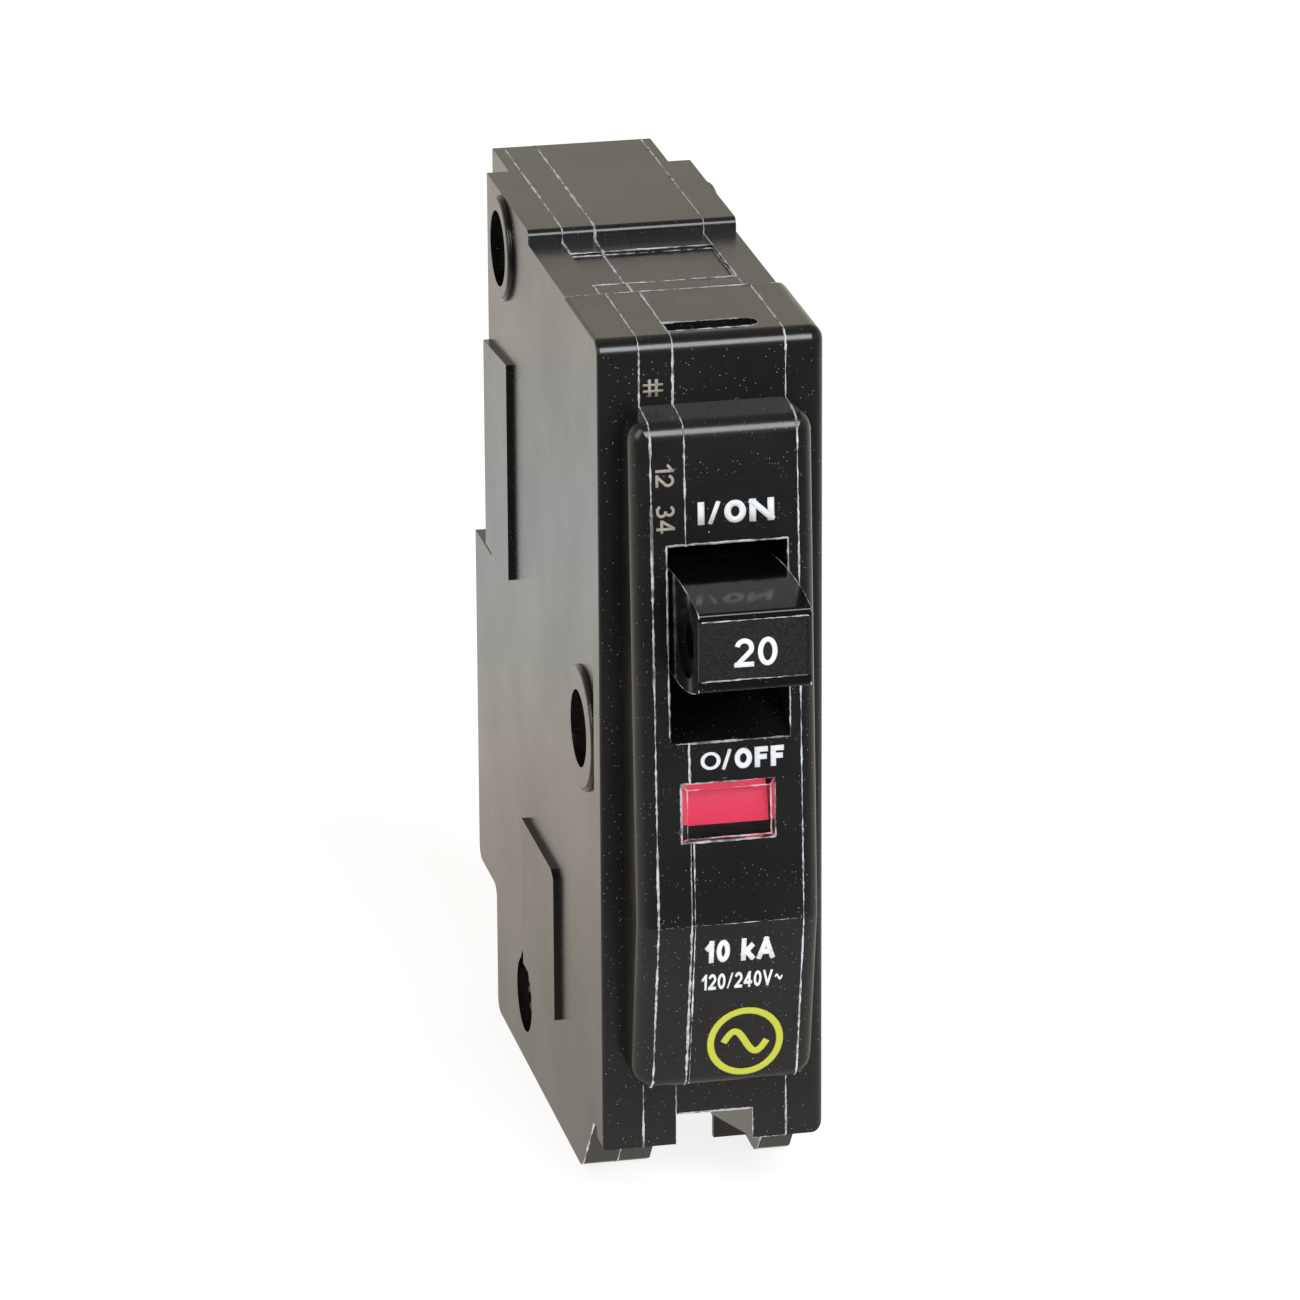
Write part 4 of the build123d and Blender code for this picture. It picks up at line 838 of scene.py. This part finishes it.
NOSE_BACK_Y = HANDLE_LOW.y + 0.5 * MM
NOSE_INNER_X = (HANDLE_LOW.x + 0.2 * MM, HANDLE_HIGH.x - 0.2 * MM)
NECK_LEFT, NECK_RIGHT, NECK_BACK_Y = -4.57 * MM, 4.73 * MM, -1.5 * MM
TIE_HOLE_Z, TIE_HOLE_REACH = 48.7 * MM, 3.1 * MM


def nose_edges(middle, first, second):
    """A test for the handle's worn front edges, without the upright sides of the panel."""
    beside_panel = abs(middle.z - PANEL_MIDDLE_Z) < PANEL_HALF - 0.05 * MM
    return middle.y < NOSE_BACK_Y and not (beside_panel and between(middle.x, NOSE_INNER_X))


def side_edges(middle, first, second):
    """A test for the edges between the handle's sides and its top and bottom, clear of the tie hole."""
    on_side = min(abs(middle.x - NECK_LEFT), abs(middle.x - NECK_RIGHT)) < NEAR
    return on_side and NOSE_BACK_Y < middle.y < NECK_BACK_Y and abs(middle.z - TIE_HOLE_Z) > TIE_HOLE_REACH


worn_nose = rim_lines("handle", nose_edges, 55.0)
worn_sides = rim_lines("handle", side_edges, 55.0)
bead("handle_worn_nose", worn_nose, 0.035 * MM, 0.8, "handle", flash_pale)
bead("handle_worn_sides", worn_sides, 0.025 * MM, 0.8, "handle", flash_pale)


# ---------------------------------------------------------------- wire terminal
# A pan-head screw draws a square clamp plate down on the wire, against a copper plate on the case.
# The screw and the clamp are zinc plated, and the screw's thread runs in the plate.

paint("terminal_plate", copper)
paint("wire_clamp", zinc_steel)
paint("terminal_screw", zinc_steel)


# ---------------------------------------------------------------- printed marks
# The marks are hot-stamped on the escutcheon in white foil, with the sign for current in yellow, and the lot
# number on the spacer is grey paint. The foil is a few hundredths of a millimetre thick, with small pinholes.


def foil(name, colour, hole_colour):
    """Stamped foil with pinholes and a slightly uneven gloss."""
    material, shader, tree = node_material(name)
    surface = use(tree, SURFACE, Clouds=900.0, Grain=7000.0, Streaks=900.0)
    pinholes = ramp(tree, surface.outputs["Cloud"], 0.27, 0.34, hole_colour, colour)
    tree.links.new(pinholes, shader.inputs["Base Color"])
    tree.links.new(spread(tree, surface.outputs["Grain"], 0.2, 0.8, 0.4, 0.6), shader.inputs["Roughness"])
    roughen(tree, shader, surface.outputs["Grain"], 0.3, 0.01 * MM)
    return material


foil_white = foil("foil_white", (0.88, 0.91, 0.95), (0.3, 0.3, 0.33))
foil_yellow = foil("foil_yellow", (0.56, 0.6, 0.05), (0.2, 0.21, 0.03))
lot_grey = foil("lot_grey", (0.4, 0.36, 0.3), (0.1, 0.09, 0.08))
FOIL = 0.02 * MM


def front_surface(*nodes):
    """A function that gives the Y of some nodes' front at an X and a Z."""
    bm = merged_copy(*nodes)
    tree = BVHTree.FromBMesh(bm)
    bm.free()

    def y_at(x, z):
        hit = tree.ray_cast(Vector((x, -0.1, z)), Vector((0, 1, 0)))[0]
        return hit.y if hit else 0.0

    return y_at


case_front = front_surface("left_cover", "case_spacer", "main_case", "right_cover")
handle_front = front_surface("handle")


def lay_on(mesh, y_at):
    """Lays a flat figure, drawn in X and Z with its thickness in Y, on a front."""
    for vert in mesh.vertices:
        vert.co.y += y_at(vert.co.x, vert.co.z) - FOIL


def arc(centre_x, centre_z, radius_x, radius_z, start, end):
    """Points of an elliptical stroke, from a start to an end angle in degrees."""
    steps = max(int(abs(end - start) / 12), 2)
    turns = [radians(start + (end - start) * i / steps) for i in range(steps + 1)]
    return [(centre_x + radius_x * cos(a), centre_z + radius_z * sin(a)) for a in turns]


# Each sign has a width, as a share of its height, and the middle lines of its strokes in a unit square.
SIGNS = {
    "I": (0.0, [[(0, 0), (0, 1)]]),
    "/": (0.52, [[(0, 0), (1, 1)]]),
    "O": (0.86, [arc(0.5, 0.5, 0.5, 0.5, 0, 360)]),
    "N": (0.98, [[(0, 0), (0, 1)], [(1, 0), (1, 1)], [(0, 1), (1, 0)]]),
    "F": (0.66, [[(0, 0), (0, 1)], [(0, 1), (1, 1)], [(0, 0.5), (0.85, 0.5)]]),
    "A": (0.86, [[(0, 0), (0.5, 1)], [(1, 0), (0.5, 1)], [(0.25, 0.28), (0.75, 0.28)]]),
    "V": (0.8, [[(0, 1), (0.5, 0)], [(1, 1), (0.5, 0)]]),
    "k": (0.66, [[(0, 0), (0, 1)], [(0, 0.2), (0.9, 0.68)], [(0.3, 0.42), (1, 0)]]),
    "0": (0.66, [arc(0.5, 0.5, 0.5, 0.5, 0, 360)]),
    "1": (0.42, [[(1, 0), (1, 1)], [(0, 0.72), (0.9, 0.95)]]),
    "2": (0.66, [arc(0.5, 0.7, 0.5, 0.3, 168, -32) + [(0.0, 0.0)], [(0, 0), (1, 0)]]),
    "3": (0.66, [arc(0.46, 0.75, 0.44, 0.25, 160, -90), arc(0.46, 0.26, 0.54, 0.26, 90, -160)]),
    "4": (0.7, [[(0.7, 1), (0, 0.3)], [(0, 0.26), (1, 0.26)], [(0.74, 1), (0.74, 0)]]),
    "~": (0.74, [[(i / 12, 0.5 + 0.17 * sin(2 * pi * i / 12)) for i in range(13)]]),
    "#": (0.8, [[(0.3, 0), (0.3, 1)], [(0.7, 0), (0.7, 1)], [(0, 0.3), (1, 0.3)], [(0, 0.7), (1, 0.7)]]),
    " ": (0.3, []),
}


THIN_SIGNS = {"/": 0.66, "~": 0.7}
SIGN_GAP = 0.13
ROUND_STROKE = 20  # points, from which a stroke's end is left unstretched


def letters(text, weight, turned=False):
    """The mesh of a line of signs one unit high, upright in X and Z, or turned to read downwards."""
    line = bmesh.new()
    pen = 0.0
    for sign in text:
        width, strokes = SIGNS[sign]
        width = max(width, weight)
        for order, stroke in enumerate(strokes):
            nib = bpy.data.curves.new("nib", "CURVE")
            nib.dimensions = "2D"
            rim = nib.splines.new("POLY")
            rim.points.add(3)
            thick = 0.5 + 0.01 * order  # crossing strokes have no face in common
            half = weight / 2 * THIN_SIGNS.get(sign, 1.0)
            for point, (x, y) in zip(rim.points, ((-1, -1), (1, -1), (1, 1), (-1, 1))):
                point.co = (x * half, y * thick, 0, 1)
            rim.use_cyclic_u = True
            nib_object = bpy.data.objects.new("nib", nib)
            bpy.context.scene.collection.objects.link(nib_object)
            curve = bpy.data.curves.new("stroke", "CURVE")
            curve.dimensions = "2D"
            curve.bevel_mode = "OBJECT"
            curve.bevel_object = nib_object
            curve.use_fill_caps = True
            points = [
                Vector((weight / 2 + x * (width - weight), weight / 2 + z * (1 - weight), 0))
                for x, z in stroke
            ]
            straight = len(points) == 2
            closed = (points[0] - points[-1]).length < 0.001 and not straight
            if closed:
                points.pop()
            else:
                head, tail = points[0] - points[1], points[-1] - points[-2]
                points[0] += head.normalized() * weight / 2 * straight
                points[-1] += tail.normalized() * weight / 2 * (len(points) < ROUND_STROKE)
            spline = curve.splines.new("POLY")
            spline.points.add(len(points) - 1)
            for point, place in zip(spline.points, points):
                point.co = (*place, 1)
            spline.use_cyclic_u = closed
            stroke_object = bpy.data.objects.new("stroke", curve)
            bpy.context.scene.collection.objects.link(stroke_object)
            view = bpy.context.evaluated_depsgraph_get()
            mesh = bpy.data.meshes.new_from_object(stroke_object.evaluated_get(view))
            piece = bmesh.new()
            piece.from_mesh(mesh)
            bmesh.ops.remove_doubles(piece, verts=piece.verts, dist=0.0001)
            for height, up in ((0.0, -1), (1.0, 1)):
                cut = bmesh.ops.bisect_plane(
                    piece,
                    geom=piece.verts[:] + piece.edges[:] + piece.faces[:],
                    plane_co=(0, height, 0),
                    plane_no=(0, up, 0),
                    clear_outer=True,
                )["geom_cut"]
                bmesh.ops.holes_fill(piece, edges=[e for e in cut if isinstance(e, bmesh.types.BMEdge)])
            bmesh.ops.recalc_face_normals(piece, faces=piece.faces)
            bmesh.ops.translate(piece, vec=(pen, 0, 0), verts=piece.verts)
            piece.to_mesh(mesh)
            piece.free()
            line.from_mesh(mesh)
            bpy.data.objects.remove(stroke_object)
            bpy.data.objects.remove(nib_object)
        pen += width + SIGN_GAP
    mesh = bpy.data.meshes.new("letters")
    line.to_mesh(mesh)
    line.free()
    if turned:
        mesh.transform(Matrix.Rotation(-pi / 2, 4, "Z"))
    mesh.transform(Matrix.Rotation(pi / 2, 4, "X"))
    return mesh


def fitted(mesh, low_x, high_x, low_z, high_z):
    """Scales and moves a figure to fill a rectangle, in millimetres, two foils thick."""
    low = Vector((min(v.co[i] for v in mesh.vertices) for i in range(3)))
    high = Vector((max(v.co[i] for v in mesh.vertices) for i in range(3)))
    size = high - low
    scale = Matrix.Diagonal(
        ((high_x - low_x) * MM / size.x, 2 * FOIL / size.y, (high_z - low_z) * MM / size.z, 1)
    )
    middle = Vector(((low_x + high_x) / 2 * MM, 0, (low_z + high_z) / 2 * MM))
    mesh.transform(Matrix.Translation(middle) @ scale @ Matrix.Translation(-(low + high) / 2))
    return mesh


MARKS = (
    ("mark_on", "I/ON", 0.26, False, (-2.19, 4.31, 56.41, 58.33), foil_white, "ink_white"),
    ("mark_off_ring", "O", 0.17, False, (-2.32, -0.62, 35.58, 37.1), foil_white, "ink_white"),
    ("mark_off", "/OFF", 0.26, False, (-0.55, 4.72, 35.5, 37.25), foil_white, "ink_white"),
    ("mark_capacity", "10 kA", 0.24, False, (-2.13, 3.9, 18.58, 20.7), foil_white, "ink_white"),
    ("mark_voltage", "120/240V~", 0.19, False, (-2.28, 4.64, 15.99, 17.5), foil_white, "ink_white"),
    ("mark_lot", "12  34", 0.15, True, (-5.66, -4.1, 55.92, 61.74), lot_grey, "ink_grey"),
    ("mark_terminal", "#", 0.12, False, (-5.73, -4.05, 66.15, 67.65), lot_grey, "ink_grey"),
)
for name, text, weight, turned, area, material, slot in MARKS:
    figure = fitted(letters(text, weight, turned), *area)
    lay_on(figure, case_front)
    place_piece(name, figure, "case", material)

figure = fitted(letters("20", 0.17), -1.7, 1.94, 47.85, 50.29)
lay_on(figure, handle_front)
place_piece("mark_rating", figure, "handle", foil_white)


RING_POINTS, WAVE_STEPS = 64, 40
WAVE_WIDTH, WAVE_HEIGHT = 1.25, 0.34


def wave_mark(name, centre_x, centre_z, radius, band):
    """A ring with a sine wave in it, the general sign for alternating current."""
    outline = bpy.data.curves.new(name, "CURVE")
    outline.dimensions = "3D"
    outline.bevel_depth = band / 2
    outline.bevel_resolution = 2
    ring = outline.splines.new("POLY")
    ring.points.add(RING_POINTS - 1)
    for i, point in enumerate(ring.points):
        angle = 2 * pi * i / RING_POINTS
        point.co = (radius * cos(angle), 0, radius * sin(angle), 1)
    ring.use_cyclic_u = True
    wave = outline.splines.new("POLY")
    wave.points.add(WAVE_STEPS)
    for i, point in enumerate(wave.points):
        share = i / WAVE_STEPS
        rise = WAVE_HEIGHT * radius * sin(2 * pi * share)
        point.co = ((share - 0.5) * WAVE_WIDTH * radius, 0, rise, 1)
    figure = bpy.data.objects.new(name, outline)
    bpy.context.scene.collection.objects.link(figure)
    mesh = bpy.data.meshes.new_from_object(figure.evaluated_get(bpy.context.evaluated_depsgraph_get()))
    bpy.data.objects.remove(figure)
    reach = radius + band / 2
    fitted(mesh, centre_x - reach, centre_x + reach, centre_z - reach, centre_z + reach)
    lay_on(mesh, case_front)
    return place_piece(name, mesh, "case", foil_yellow)


MARK_X, MARK_Z, MARK_RADIUS, MARK_BAND = 1.67, 10.76, 2.95, 0.62
wave_mark("mark_current", MARK_X, MARK_Z, MARK_RADIUS, MARK_BAND)
